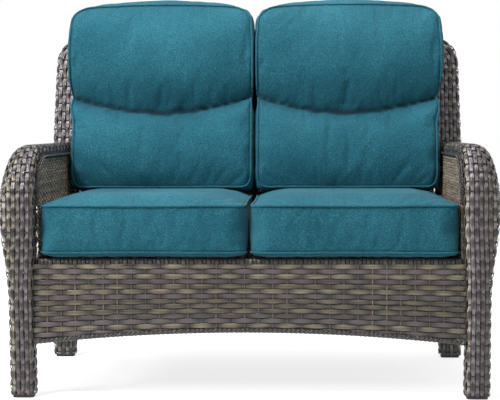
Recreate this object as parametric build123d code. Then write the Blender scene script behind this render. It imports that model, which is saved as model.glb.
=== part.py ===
from build123d import *
from math import atan2, cos, hypot, radians, sin, tan
import os

# Patio loveseat: a bolted tube frame covered in woven resin strand, with four loose cushions.
# Millimetres. X runs along the seat, the front faces -Y and Z is up, with the origin on the floor.
# Left and right are as seen from the front: left is -X.

# The whole loveseat
overall_width = 1230
overall_depth = 760
arm_height = 628
back_height = 930
seat_height = 350
fit = 0.3
overrun = 60
quarter_turn = 90

# Woven skins and the tubes behind them
skin = 3
tube_radius = 9.5
hoop_radius = 12.5
tube_wall = 1.5
rail_size = 25
bar_radius = 6
arch_tube_radius = 8

# Rolled arm and front leg
arm_width = 93
foot_width = 62
foot_inset = 20
leg_depth = 48
leg_lean = 3.2
leg_corner = 15
bulge_depth = 60
roll_depth = 112
arm_bend = 138
bend_steps = 8
flare_height = 240
arm_taper = 8
roll_inner_corner = 24
roll_shoulder_width = 56
roll_shoulder_drop = 98
roll_under_corner = 9
leg_tube_inset = 13.3
leg_tube_side_inset = 14
arm_tube_inset = 16
roll_tube_drop = 88
roll_tube_bend = 60
end_plate = 4
leg_tie_shares = (0.22, 0.72)
arm_tie_shares = (0.15, 0.5, 0.85)

# Side panel under the arm, its border and its bars
border_inset = 26
braid_radius = 3
braid_start_share = 0.55
side_rise = 24
side_bar_shares = (0.3, 0.62)

# Back frame, its wings and the rear legs
recline = 12
knee_drop = 50
wing_width = 70
wing_depth = 46
wing_edge = 14
wing_top_inset = 28
wing_foot_inset = 15
wing_corner = 66
opening_corner = 20
top_rail_height = 60
rear_foot_inset = 90
knee_bend = 150
back_bar_count = 5
tie_size = 18

# Aprons under the seat
apron_clearance = 135
apron_rise = 32
apron_setback = 30
rail_band = 16
apron_bar_count = 4

# Seat frame and deck
deck_thickness = 3
bearer_radius = 10
bearer_count = 3

# Feet
glide_height = 6
glide_margin = 5
spigot_length = 16

# Fasteners
bolt_radius = 3
bolt_head_radius = 5
bolt_head_height = 3.3
bolt_end = 2
washer_radius = 7
washer_thickness = 1.6
nut_radius = 5.5
nut_height = 5
cap_wall = 1.6
spacer_radius = 6
seat_bolt_shares = (0.25, 0.72)
back_bolt_shares = (-0.75, -0.25, 0.25, 0.75)
arm_bolt_share = 0.45

# Seat cushions
cushion_gap = 0.8
cushion_side_gap = 1
seat_back_gap = 16
seat_cushion_height = 133
seat_overhang = 22
seat_crown = 20
seat_crown_inset = 90
seat_corner = 34
seat_edge = 12
seat_edge_inset = 7
seat_waist_inset = 3
side_pull = 5

# Back cushions
back_cushion_side_gap = 4
back_cushion_height = 548
back_cushion_sink = 9.8
lumbar_thickness = 185
lumbar_set = 3
back_corner = 34
smile_end_share = 0.455
smile_middle_share = 0.36
lumbar_shares = ((0, 0.82, 0.15), (0.05, 0.95, 0), (0.2, 1, 0), (0.36, 0.95, 0.06), (0.52, 0.84, 0.4))
pillow_shares = (
    (0.3, 0.95, 0.5), (0.38, 1.02, 0.3), (0.475, 1.07, 0.16), (0.58, 1.11, 0.03), (0.74, 1.12, 0),
    (0.89, 1.03, 0.1), (0.955, 0.86, 0.55), (1, 0.52, 1.5),
)

# Places worked out from the sizes above
half_width = overall_width / 2
half_depth = overall_depth / 2
panel_x = half_width - arm_width
arm_inner_x = panel_x + skin + fit
foot_outer_x = half_width - foot_inset
foot_inner_x = foot_outer_x - foot_width
inner_tube_x = foot_inner_x + leg_tube_side_inset
outer_tube_x = foot_outer_x - leg_tube_side_inset
bend_y = arm_bend - half_depth
bend_z = arm_height - arm_bend
lean = radians(leg_lean)
tilt = radians(recline)
rail_top = seat_height - deck_thickness
rail_bottom = rail_top - rail_size
rail_middle = (rail_top + rail_bottom) / 2
apron_y = apron_setback - half_depth
ring_front = apron_y + skin
ring_x = panel_x - fit
rear_foot_y = half_depth - rear_foot_inset
knee_height = seat_height - knee_drop
wing_half = wing_depth / 2
wing_top_x = half_width - wing_top_inset
wing_inner_x = wing_top_x - wing_width
wing_knee_x = half_width - wing_foot_inset
wing_flat = wing_half - wing_edge
wing_top = (back_height - knee_height - wing_edge - wing_flat * sin(tilt)) / cos(tilt) + wing_edge
knee_y = half_depth - (wing_top - wing_edge) * sin(tilt) - wing_flat * cos(tilt) - wing_edge
hoop_inset = skin + fit + hoop_radius
opening_top = wing_top - top_rail_height
sheet_front = -(hoop_radius + fit)
back_plane = Plane(origin=(0, knee_y, knee_height), x_dir=(1, 0, 0), z_dir=(0, -cos(tilt), sin(tilt)))
splay = atan2(rear_foot_y - knee_y, knee_height)
leg_plane = Plane(origin=(0, knee_y, knee_height), x_dir=(1, 0, 0), z_dir=(0, -cos(splay), -sin(splay)))


def wing_front(height):
    """Y of the front face of the back frame at a height above the knee."""
    return knee_y - wing_half / cos(tilt) + (height - knee_height) * tan(tilt)


def leg_y(height, inset):
    """Y of the line that lies inset behind the front face of the front leg, at a height."""
    start = bend_z - (arm_bend - inset) * sin(lean)
    return bend_y - (arm_bend - inset) * cos(lean) + (start - height) * tan(lean)


ring_back = wing_front(rail_bottom) - fit


# Shapes used by more than one piece
def mix(a, b, share):
    return a + (b - a) * share


def ease(share):
    return share * share * (3 - 2 * share)


def sides(shape):
    """The right-hand piece and its mirror image, with the name that each takes."""
    return (("right", shape), ("left", mirror(shape, about=Plane.YZ)))


def block(x0, x1, y0, y1, z0, z1):
    """A box between two corners."""
    return Pos((x0 + x1) / 2, (y0 + y1) / 2, (z0 + z1) / 2) * Box(x1 - x0, y1 - y0, z1 - z0)


def everywhere(z0, z1):
    """A slab wider than the loveseat, between two heights."""
    return block(-overall_width, overall_width, -overall_width, overall_width, z0, z1)


def rod(start, end, radius):
    """A solid round bar from one point to another."""
    path = Line(start, end)
    return sweep(Plane(origin=path @ 0, z_dir=path % 0) * Circle(radius), path=path)


def bar(path, radius):
    """A solid round bar along a path."""
    return sweep(Plane(origin=path @ 0, z_dir=path % 0) * Circle(radius), path=path)


def pipe(path, radius):
    """An open round tube along a path."""
    return bar(path, radius) - bar(path, radius - tube_wall)


def across(shape_radius, start, length, direction):
    """A round pin of a given length that starts at a point and runs in a direction."""
    end = Vector(*start) + Vector(*direction).normalized() * length
    return rod(start, end, shape_radius)


def rounded_loop(plane, u0, u1, v0, v1, corners):
    """A four-sided face with its own corner sizes at (u0, v0), (u1, v0), (u1, v1) and (u0, v1)."""
    (au, av), (bu, bv), (cu, cv), (du, dv) = corners
    edges = [
        Line((u0 + au, v0), (u1 - bu, v0)),
        Bezier((u1 - bu, v0), (u1, v0), (u1, v0 + bv)),
        Line((u1, v0 + bv), (u1, v1 - cv)),
        Bezier((u1, v1 - cv), (u1, v1), (u1 - cu, v1)),
        Line((u1 - cu, v1), (u0 + du, v1)),
        Bezier((u0 + du, v1), (u0, v1), (u0, v1 - dv)),
        Line((u0, v1 - dv), (u0, v0 + av)),
        Bezier((u0, v0 + av), (u0, v0), (u0 + au, v0)),
    ]
    return plane * make_face(edges)


def behind_arm(margin):
    """All that lies behind the plane of the wing's front face, from margin in front of it."""
    reach = overall_width
    return back_plane * block(-reach, reach, -reach, reach, -reach, wing_half + margin)


below_glides = everywhere(-overall_width, glide_height)
parts = {}


# Rolled arms: one woven sleeve from the foot, up the front leg, over the bend and back to the wing.
# Across a section u runs outwards and v runs inwards from the front or top surface.
def arm_stations():
    """Where each section stands: y, z, turn from level, then how far flare, roll and arm have gone."""
    leg_top = bend_z - arm_bend * sin(lean)
    stations = []
    flare_middle = mix(flare_height, leg_top, 0.5)
    for height, flare in ((-overrun, 0), (flare_height, 0), (flare_middle, 0.5), (leg_top, 1)):
        stations.append((leg_y(height, 0), height, leg_lean, ease(flare), 0, 0))
    leg_reach, arm_reach = arm_bend - bulge_depth, arm_bend - roll_depth
    for share in (step / bend_steps for step in range(1, bend_steps + 1)):
        turn = leg_lean - share * (quarter_turn + leg_lean)
        angle = radians(2 * quarter_turn + turn)
        y, z = bend_y + arm_bend * cos(angle), bend_z + arm_bend * sin(angle)
        swing = radians(quarter_turn * share)
        reach = leg_reach * arm_reach / hypot(arm_reach * cos(swing), leg_reach * sin(swing))
        stations.append((y, z, turn, 1, (leg_reach - reach) / (leg_reach - arm_reach), 0))
    stations.append((half_depth, arm_height, -quarter_turn, 1, 1, 1))
    return stations


def arm_section(station, inset):
    """One section of the sleeve, drawn inset from its outer surface."""
    y, z, turn, flare, roll, back = station
    inner = mix(foot_inner_x, arm_inner_x, flare) + inset
    outer = mix(foot_outer_x, half_width, flare) - arm_taper * back - inset
    depth = mix(mix(leg_depth, bulge_depth, flare), roll_depth, roll) - inset
    top_inner = mix(leg_corner, roll_inner_corner, roll) - inset
    shoulder = [mix(leg_corner, full, roll) - inset for full in (roll_shoulder_width, roll_shoulder_drop)]
    under = roll_under_corner - inset
    inward = Vector(0, cos(radians(turn)), sin(radians(turn)))
    plane = Plane(origin=(0, y, z), x_dir=(1, 0, 0), z_dir=Vector(1, 0, 0).cross(inward))
    corners = ((top_inner, top_inner), shoulder, (under, under), (under, under))
    return rounded_loop(plane, inner, outer, inset, depth, corners)


def arm_solid(inset):
    """The arm as a full solid, smaller by inset all round."""
    return loft([arm_section(station, inset) for station in arm_stations()], ruled=True)


arm_full = arm_solid(0)
arm_room = arm_solid(-fit)
arm_wrap = arm_full - arm_solid(skin) - behind_arm(0) - below_glides
rail_notch = block(
    panel_x, arm_inner_x + rail_size + fit, leg_y(rail_middle, leg_tube_inset) + tube_radius, 0,
    rail_bottom - fit, rail_top + fit,
)
for hand, shape in sides(arm_wrap - rail_notch):
    parts[f"{hand}_arm_wrap"] = shape


# Arm tubes: the inner one follows the top inner edge of the arm, the outer one runs lower inside the roll.
def arm_path(x, leg_inset, top_z, bend):
    foot = (x, leg_y(0, leg_inset), 0)
    corner = (x, leg_y(top_z, leg_inset), top_z)
    return FilletPolyline(foot, corner, (x, half_depth, top_z), radius=bend)


inner_arm_top = arm_height - arm_tube_inset
outer_arm_top = arm_height - roll_tube_drop
inner_path = arm_path(inner_tube_x, leg_tube_inset, inner_arm_top, arm_bend - arm_tube_inset)
outer_path = arm_path(outer_tube_x, leg_tube_inset, outer_arm_top, roll_tube_bend)
inner_tube_full = bar(inner_path, tube_radius)
outer_tube_full = bar(outer_path, tube_radius)
arm_trim = behind_arm(end_plate) + below_glides
for hand, shape in sides(pipe(inner_path, tube_radius) - arm_trim):
    parts[f"{hand}_arm_inner_tube"] = shape
for hand, shape in sides(pipe(outer_path, tube_radius) - arm_trim):
    parts[f"{hand}_arm_outer_tube"] = shape


# Short ties welded between the two tubes of an arm
def arm_ties():
    ties = []
    for share in leg_tie_shares:
        z = mix(glide_height, bend_z, share)
        y = leg_y(z, leg_tube_inset)
        ties.append(rod((inner_tube_x, y, z), (outer_tube_x, y, z), bar_radius))
    for share in arm_tie_shares:
        y = mix(bend_y, wing_front(outer_arm_top), share)
        ties.append(rod((inner_tube_x, y, inner_arm_top), (outer_tube_x, y, outer_arm_top), bar_radius))
    return Compound(children=[tie - inner_tube_full - outer_tube_full for tie in ties])


for hand, shape in sides(arm_ties()):
    parts[f"{hand}_arm_ties"] = shape

# Steel plate that closes the rear end of the arm and takes the upper bolt from the back frame
bolt_x = wing_inner_x + skin + fit + 2 * tube_radius + tie_size / 2
upper_bolt_s = (mix(arm_height - roll_depth, arm_height, arm_bolt_share) - knee_height) / cos(tilt)
lower_bolt_s = (rail_top - knee_height) / cos(tilt) + tie_size
bolt_way = {
    s: back_plane * Pos(bolt_x, s, 0) * Cylinder(bolt_radius + fit, overall_depth / 4)
    for s in (upper_bolt_s, lower_bolt_s)
}
arm_core = arm_solid(skin + fit)
upper_plate = (arm_core & behind_arm(end_plate)) - behind_arm(0) - bolt_way[upper_bolt_s]
for hand, shape in sides(upper_plate):
    parts[f"{hand}_arm_end_plate"] = shape

# Side rail: square tube from the front leg to the back frame, with its own small plate for the lower bolt
rail_outer_x = arm_inner_x + rail_size
seat_bolt_y = [mix(ring_front + rail_size, ring_back - rail_size, share) for share in seat_bolt_shares]
seat_bolt_way = [
    rod((0, y, rail_middle), (half_width, y, rail_middle), bolt_radius + fit) for y in seat_bolt_y
]
rail_front = leg_y(rail_bottom, leg_tube_inset) + tube_radius + fit
rail_box = block(arm_inner_x, rail_outer_x, rail_front, half_depth, rail_bottom, rail_top)
rail_bore = block(
    arm_inner_x + tube_wall, rail_outer_x - tube_wall, rail_front - overrun, half_depth,
    rail_bottom + tube_wall, rail_top - tube_wall,
)
side_rail = rail_box - rail_bore - behind_arm(end_plate)
for way in seat_bolt_way:
    side_rail -= way
for hand, shape in sides(side_rail):
    parts[f"{hand}_side_rail"] = shape
plate_low = (rail_bottom - knee_height) / cos(tilt)
lower_plate = back_plane * block(
    arm_inner_x, bolt_x + tie_size / 2, plate_low, lower_bolt_s + tie_size / 2,
    wing_half, wing_half + end_plate,
)
for hand, shape in sides(lower_plate - bolt_way[lower_bolt_s]):
    parts[f"{hand}_side_rail_plate"] = shape


# Rear legs: woven sleeve from the knee of the back frame to the floor
def rear_leg_section(height, inset):
    """Level section of the rear leg's sleeve."""
    share = (knee_height - height) / knee_height
    inner = mix(wing_inner_x, foot_inner_x, share) + inset
    outer = mix(wing_knee_x, foot_outer_x, share) - inset
    middle = mix(knee_y, rear_foot_y, share)
    half = wing_half / cos(tilt) - inset
    corner = (wing_edge - inset, wing_edge - inset)
    plane = Plane(origin=(0, 0, height), x_dir=(1, 0, 0), z_dir=(0, 0, 1))
    return rounded_loop(plane, inner, outer, middle - half, middle + half, (corner,) * 4)


def rear_leg_solid(inset, top=knee_height):
    return loft([rear_leg_section(0, inset), rear_leg_section(top, inset)], ruled=True)


rear_leg_full = rear_leg_solid(0)
rear_leg_room = rear_leg_solid(-fit, knee_height + fit)


# Back frame sleeves: wings and top rail cut from one hoop, so that their edges run through
def hoop_solid(inset):
    """Rounded hoop between the outline of the back frame and its opening, smaller by inset all round."""
    low = -overrun
    shift = (wing_knee_x - wing_top_x) * low / wing_top
    outline = FilletPolyline(
        (shift - wing_knee_x + inset, low), (inset - wing_top_x, wing_top - inset),
        (wing_top_x - inset, wing_top - inset), (wing_knee_x - shift - inset, low),
        radius=wing_corner - inset,
    )
    opening_x = wing_inner_x + inset
    opening = FilletPolyline(
        (-opening_x, low), (-opening_x, opening_top + inset),
        (opening_x, opening_top + inset), (opening_x, low),
        radius=opening_corner + inset,
    )
    feet = [Line(outline @ 0, opening @ 0), Line(outline @ 1, opening @ 1)]
    face = make_face([*outline.edges(), *opening.edges(), *feet])
    solid = extrude(face, amount=wing_half - inset, both=True)
    rim = [edge for edge in solid.edges().filter_by(Plane.XY) if edge.center().Y > low + fit]
    return fillet(rim, wing_edge - inset)


hoop_full = back_plane * hoop_solid(0)
hoop_wrap = hoop_full - back_plane * hoop_solid(skin)
below_knee = everywhere(-overall_width, knee_height)
wing_zone = block(wing_inner_x, overall_width, -overall_width, overall_width, 0, overall_width)
rail_zone = block(-wing_inner_x, wing_inner_x, -overall_width, overall_width, 0, overall_width)
back_rail_face = knee_y + (rail_bottom - knee_height) * tan(tilt) - sheet_front / cos(tilt) - fit
back_rail_y = back_rail_face - rail_size / 2
back_rail_notch = block(
    -wing_knee_x, wing_knee_x, back_rail_y - rail_size / 2 - fit, back_rail_y + rail_size / 2 + fit,
    rail_bottom - fit, rail_top + fit,
)
wing_wrap = (hoop_wrap & wing_zone) - below_knee
wing_wrap -= block(0, bolt_x, 0, overall_depth, rail_bottom - fit, rail_top + fit) & back_rail_notch
for way in bolt_way.values():
    wing_wrap -= way
for hand, shape in sides(wing_wrap):
    parts[f"{hand}_wing_wrap"] = shape
rear_leg_wrap = rear_leg_full - rear_leg_solid(skin) - below_glides
for hand, shape in sides(rear_leg_wrap):
    parts[f"{hand}_rear_leg_wrap"] = shape

# Outer hoop: one bent tube that makes both rear legs, both wings and the top of the back
hoop_x = wing_top_x - hoop_inset
hoop_top = back_plane.from_local_coords(Vector(0, wing_top - hoop_inset, 0))
hoop_half = [(hoop_x, rear_foot_y, 0), (hoop_x, knee_y, knee_height), (hoop_x, hoop_top.Y, hoop_top.Z)]
hoop_corner = wing_corner - hoop_inset
hoop_path = FilletPolyline(
    *hoop_half, *[(-x, y, z) for x, y, z in reversed(hoop_half)],
    radius=[knee_bend, hoop_corner, hoop_corner, knee_bend],
)
hoop_tube_full = bar(hoop_path, hoop_radius)
parts["back_outer_hoop"] = hoop_tube_full - bar(hoop_path, hoop_radius - tube_wall) - below_glides

# Inner hoop: lighter tube round the opening, welded to the lower rail
inner_hoop_inset = skin + fit + tube_radius
inner_hoop_x = wing_inner_x + inner_hoop_inset
inner_hoop_low = (rail_middle - knee_height) / cos(tilt)
inner_hoop_path = back_plane * FilletPolyline(
    (-inner_hoop_x, inner_hoop_low), (-inner_hoop_x, opening_top + inner_hoop_inset),
    (inner_hoop_x, opening_top + inner_hoop_inset), (inner_hoop_x, inner_hoop_low),
    radius=opening_corner + inner_hoop_inset,
)
inner_hoop_full = bar(inner_hoop_path, tube_radius)
above_rail = everywhere(rail_top, overall_width)
parts["back_inner_hoop"] = pipe(inner_hoop_path, tube_radius) & above_rail

# Lower rail of the back frame, between the two legs of the outer hoop
spacer_length = back_rail_y - rail_size / 2 - ring_back
back_bolt_x = [share * wing_inner_x for share in back_bolt_shares]
back_bolt_way = [
    rod((x, 0, rail_middle), (x, back_rail_y, rail_middle), bolt_radius + fit) for x in back_bolt_x
]
lower_rail = block(
    -hoop_x, hoop_x, back_rail_y - rail_size / 2, back_rail_y + rail_size / 2, rail_bottom, rail_top
)
lower_rail -= block(
    -overall_width, overall_width,
    back_rail_y - rail_size / 2 + tube_wall, back_rail_y + rail_size / 2 - tube_wall,
    rail_bottom + tube_wall, rail_top - tube_wall,
)
for way in back_bolt_way:
    lower_rail -= way
parts["back_lower_rail"] = lower_rail - hoop_tube_full

# Ties between the two hoops, where the arm bolts pass
tie_x0, tie_x1 = inner_hoop_x, hoop_x
tie_set = []
for s in (upper_bolt_s, lower_bolt_s):
    tie = back_plane * block(tie_x0, tie_x1, s - tie_size / 2, s + tie_size / 2, -tie_size / 2, tie_size / 2)
    tie = tie - inner_hoop_full - hoop_tube_full - bolt_way[s]
    tie_set += [shape for _, shape in sides(tie)]
parts["back_hoop_ties"] = Compound(children=tie_set)

# Upright bars that hold the woven back
bar_f = sheet_front + fit + bar_radius
bar_shares = [(index + 1) / (back_bar_count + 1) for index in range(back_bar_count)]
bar_places = [mix(-wing_inner_x, wing_inner_x, share) for share in bar_shares]
bar_top = opening_top + inner_hoop_inset
back_bars = []
for x in bar_places:
    upright = back_plane * rod((x, 0, bar_f), (x, bar_top, bar_f), bar_radius)
    back_bars.append((upright & above_rail) - inner_hoop_full)
parts["back_bars"] = Compound(children=back_bars)
top_rail_wrap = (hoop_wrap & rail_zone) - below_knee
for x in bar_places:
    top_rail_wrap -= back_plane * rod((x, 0, bar_f), (x, bar_top, bar_f), bar_radius + fit)
parts["top_rail_wrap"] = top_rail_wrap

# Woven back panel, and the rear apron that carries it on down between the rear legs
opening_x = wing_inner_x - fit
sheet_top = opening_top - fit
sheet_outline = FilletPolyline(
    (-opening_x, -overrun), (-opening_x, sheet_top), (opening_x, sheet_top), (opening_x, -overrun),
    radius=opening_corner,
)
sheet_face = make_face([*sheet_outline.edges(), Line(sheet_outline @ 0, sheet_outline @ 1)])
back_sheet = back_plane * Pos(0, 0, sheet_front - skin) * extrude(sheet_face, amount=skin)
parts["back_panel"] = back_sheet - below_knee


def arch_face(half_span, low, high, rise):
    """Upright face with straight sides and an arched lower edge, in the plane it is drawn in."""
    arch = ThreePointArc((-half_span, low), (0, low + rise), (half_span, low))
    rim = Polyline((half_span, low), (half_span, high), (-half_span, high), (-half_span, low))
    return make_face([*arch.edges(), *rim.edges()])


apron_low = apron_clearance
rear_low = (apron_low - knee_height) / cos(splay)
rear_face = arch_face(foot_inner_x, rear_low, overrun, apron_rise)
rear_sheet = leg_plane * Pos(0, 0, sheet_front - skin) * extrude(rear_face, amount=skin)
legs_room = rear_leg_room + mirror(rear_leg_room, about=Plane.YZ)
parts["rear_apron"] = rear_sheet - everywhere(knee_height, overall_width) - legs_room


def arch_path(half_span, low, rise, depth):
    return ThreePointArc((-half_span, low, depth), (0, low + rise, depth), (half_span, low, depth))


rear_arch_f = sheet_front + fit + arch_tube_radius
rear_arch_path = leg_plane * arch_path(foot_inner_x, rear_low + arch_tube_radius, apron_rise, rear_arch_f)
rear_arch_full = bar(rear_arch_path, arch_tube_radius)
parts["rear_apron_tube"] = pipe(rear_arch_path, arch_tube_radius) - legs_room


def apron_bar_places(half_span):
    """Even places for the bars of an apron."""
    return [mix(-half_span, half_span, index / (apron_bar_count - 1)) for index in range(apron_bar_count)]


rail_cut = everywhere(rail_bottom, overall_width)
rear_bars = []
for x in apron_bar_places(ring_x - 2 * bar_radius):
    upright = leg_plane * rod((x, rear_low, rear_arch_f), (x, overrun, rear_arch_f), bar_radius)
    upright = upright - rail_cut - rear_arch_full
    rear_bars.append(upright.solids().sort_by(Axis.Z)[-1])
parts["rear_apron_bars"] = Compound(children=rear_bars)

# Seat frame: welded ring of square tube with bearers from front to back
ring = block(-ring_x, ring_x, ring_front, ring_back, rail_bottom, rail_top)
ring -= block(
    rail_size - ring_x, ring_x - rail_size, ring_front + rail_size, ring_back - rail_size,
    rail_bottom, rail_top,
)
ring_bore = block(
    tube_wall - ring_x, ring_x - tube_wall, ring_front + tube_wall, ring_back - tube_wall,
    rail_bottom + tube_wall, rail_top - tube_wall,
)
bore_core = rail_size - tube_wall
ring_bore -= block(
    bore_core - ring_x, ring_x - bore_core, ring_front + bore_core, ring_back - bore_core,
    rail_bottom, rail_top,
)
ring -= ring_bore
ring_ways = seat_bolt_way + [mirror(way, about=Plane.YZ) for way in seat_bolt_way] + back_bolt_way
for way in ring_ways:
    ring -= way
parts["seat_ring"] = ring
bearers = []
for index in range(bearer_count):
    x = mix(-ring_x, ring_x, (index + 1) / (bearer_count + 1))
    z = rail_top - bearer_radius
    bearers.append(pipe(Line((x, ring_front + rail_size, z), (x, ring_back - rail_size, z)), bearer_radius))
parts["seat_bearers"] = Compound(children=bearers)

# Woven deck, and the wrapped front rail that shows as a plain band above the apron
wrap_back = ring_front + rail_size
parts["seat_deck"] = block(-ring_x, ring_x, wrap_back, ring_back, rail_top, seat_height)
rail_wrap = block(-half_width, half_width, apron_y, wrap_back, seat_height - rail_band, seat_height)
rail_wrap -= block(-half_width, half_width, ring_front, wrap_back, 0, rail_top)
arms_room = arm_room + mirror(arm_room, about=Plane.YZ)
panels_room = [block(panel_x - fit, half_width, bend_y - arm_bend + border_inset, 0, 0, arm_height)]
panels_room.append(mirror(panels_room[0], about=Plane.YZ))
parts["front_rail_wrap"] = rail_wrap - arms_room - panels_room[0] - panels_room[1]

# Front apron: woven sheet with an arched lower edge on its own tube and bars
front_face = arch_face(inner_tube_x, apron_low, seat_height - rail_band, apron_rise)
front_plane = Plane(origin=(0, apron_y, 0), x_dir=(1, 0, 0), z_dir=(0, -1, 0))
front_sheet = front_plane * Pos(0, 0, -skin) * extrude(front_face, amount=skin)
for _, notch in sides(block(panel_x, half_width, -half_depth, 0, rail_bottom - fit, rail_top)):
    front_sheet -= notch
parts["front_apron"] = front_sheet - arms_room
front_arch_path = front_plane * arch_path(
    foot_inner_x, apron_low + arch_tube_radius, apron_rise, -skin - arch_tube_radius
)
front_arch_full = bar(front_arch_path, arch_tube_radius)
parts["front_apron_tube"] = pipe(front_arch_path, arch_tube_radius) - arms_room
front_bars = []
for x in apron_bar_places(ring_x - 2 * bar_radius):
    y = ring_front + arch_tube_radius
    upright = rod((x, y, apron_low), (x, y, rail_bottom), bar_radius) - front_arch_full
    front_bars.append(upright.solids().sort_by(Axis.Z)[-1])
parts["front_apron_bars"] = Compound(children=front_bars)


# Side panels: finer woven sheet on the inner side of each arm, arched below like the aprons
def side_outline(inset):
    """Outline of the side panel, drawn inset behind the front and top of the arm."""
    leg_top = bend_z - (arm_bend - inset) * sin(lean)
    bend_radius = arm_bend - inset
    middle_angle = radians(2 * quarter_turn - (quarter_turn - leg_lean) / 2)
    bend_middle = (bend_y + bend_radius * cos(middle_angle), bend_z + bend_radius * sin(middle_angle))
    low_front = (leg_y(apron_low, inset), apron_low)
    bend_start = (leg_y(leg_top, inset), leg_top)
    bend_end = (bend_y, arm_height - inset)
    top_rear = (wing_front(arm_height - inset) - fit, arm_height - inset)
    knee = (wing_front(knee_height) - fit, knee_height)
    rear_foot_front = rear_foot_y - wing_half / cos(tilt)
    low_share = (knee_height - apron_low) / knee_height
    low_rear = (mix(knee[0], rear_foot_front - fit, low_share), apron_low)
    arch_middle = ((low_front[0] + low_rear[0]) / 2, apron_low + side_rise)
    return [
        Line(low_front, bend_start),
        ThreePointArc(bend_start, bend_middle, bend_end),
        Line(bend_end, top_rear),
        Line(top_rear, knee),
        Line(knee, low_rear),
        ThreePointArc(low_rear, arch_middle, low_front),
    ]


panel_inset = border_inset + 2 * braid_radius + fit
side_plane = Plane(origin=(panel_x, 0, 0), x_dir=(0, 1, 0), z_dir=(1, 0, 0))
side_panel = side_plane * extrude(make_face(side_outline(panel_inset)), amount=skin)
for way in seat_bolt_way:
    side_panel -= way
for hand, shape in sides(side_panel):
    parts[f"{hand}_side_panel"] = shape

# Braided border on the edge of the side panel, from the seat cushion up and back to the wing
braid_inset = border_inset + braid_radius
braid_plane = Plane(origin=(arm_inner_x - fit - braid_radius, 0, 0), x_dir=(0, 1, 0), z_dir=(1, 0, 0))
braid_edges = side_outline(braid_inset)[:3]
braid_path = braid_plane * Wire([edge for line in braid_edges for edge in line.edges()])
braid = bar(braid_path, braid_radius)
below_braid = everywhere(-overall_width, mix(seat_height, arm_height, braid_start_share))
for hand, shape in sides(braid - below_braid - behind_arm(fit)):
    parts[f"{hand}_arm_braid"] = shape

# Arched tube and bars that carry the lower part of the side panel
side_tube_x = arm_inner_x + arch_tube_radius
side_low = apron_low + arch_tube_radius
side_front, side_back = leg_y(side_low, leg_depth - skin), rear_foot_y
side_arch_path = ThreePointArc(
    (side_tube_x, side_front, side_low), (side_tube_x, (side_front + side_back) / 2, side_low + side_rise),
    (side_tube_x, side_back, side_low),
)
side_arch_full = bar(side_arch_path, arch_tube_radius)
side_tube = pipe(side_arch_path, arch_tube_radius) - arm_room - rear_leg_room
side_tube = side_tube.solids().sort_by(SortBy.VOLUME)[-1]
for hand, shape in sides(side_tube):
    parts[f"{hand}_side_tube"] = shape
side_bars = []
for share in side_bar_shares:
    y = mix(ring_front, ring_back, share)
    low = rod((side_tube_x, y, side_low), (side_tube_x, y, rail_bottom), bar_radius) - side_arch_full
    side_bars.append(low.solids().sort_by(Axis.Z)[-1])
    lean_in = rod((side_tube_x, y, rail_top - bar_radius), (inner_tube_x, y, inner_arm_top), bar_radius)
    side_bars.append(lean_in - everywhere(0, rail_top) - inner_tube_full)
side_bars = Compound(children=side_bars) - arm_full
for hand, shape in sides(side_bars):
    parts[f"{hand}_side_bars"] = shape

# Foot glides: a plastic pad under each leg with a spigot up each of its tubes
def glide(section, tubes):
    """Pad under one foot, and a spigot along each tube: tubes are (x, y, direction, radius)."""
    pad = extrude(section, amount=glide_height)
    for x, y, direction, radius in tubes:
        pin = across(radius - tube_wall - fit, (x, y, 0), glide_height + spigot_length, direction)
        pad += pin - everywhere(-overall_width, glide_height / 2)
    return pad


front_pad = rounded_loop(
    Plane.XY, foot_inner_x + glide_margin, foot_outer_x - glide_margin,
    leg_y(0, glide_margin), leg_y(0, leg_depth - glide_margin), ((leg_corner - glide_margin,) * 2,) * 4,
)
front_way = (0, -sin(lean), cos(lean))
front_foot_y = leg_y(0, leg_tube_inset)
front_tubes = [(x, front_foot_y, front_way, tube_radius) for x in (inner_tube_x, outer_tube_x)]
front_glide = glide(front_pad, front_tubes)
for hand, shape in sides(front_glide):
    parts[f"{hand}_front_glide"] = shape
rear_pad = rear_leg_section(0, glide_margin)
rear_way = (0, knee_y - rear_foot_y, knee_height)
rear_glide = glide(rear_pad, [(hoop_x, rear_foot_y, rear_way, hoop_radius)])
for hand, shape in sides(rear_glide):
    parts[f"{hand}_rear_glide"] = shape


# Fasteners: hexagon socket bolts with washers and nuts
def bolt(start, direction, grip):
    """Bolt whose head sits on a washer at start; the shank runs through the grip and a nut."""
    way = Vector(*direction).normalized()
    seat = Vector(*start) - way * washer_thickness
    head = across(bolt_head_radius, seat, -bolt_head_height, direction)
    shank = across(bolt_radius, seat, washer_thickness + grip + nut_height + bolt_end, direction)
    return head + shank


def washer(start, direction):
    outer = across(washer_radius, start, -washer_thickness, direction)
    return outer - across(bolt_radius + fit, start, -washer_thickness, direction)


def nut(start, direction, grip):
    """Hexagon nut at the far end of the grip."""
    way = Vector(*direction).normalized()
    seat = Vector(*start) + way * grip
    body = extrude(Plane(origin=seat, z_dir=way) * RegularPolygon(nut_radius, 6), amount=nut_height)
    return body - across(bolt_radius, seat, nut_height, direction)


washers, nuts = [], []


def fastener_set(name, places, direction, grip, mirrored):
    """A node of like bolts; their washers and nuts join the ones that the whole loveseat shares."""
    copies = (lambda shape: [piece for _, piece in sides(shape)]) if mirrored else (lambda shape: [shape])
    bolts = []
    for place in places:
        bolts += copies(bolt(place, direction, grip))
        washers.extend(copies(washer(place, direction)))
        nuts.extend(copies(nut(place, direction, grip)))
    parts[f"{name}_bolts"] = Compound(children=bolts)


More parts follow.
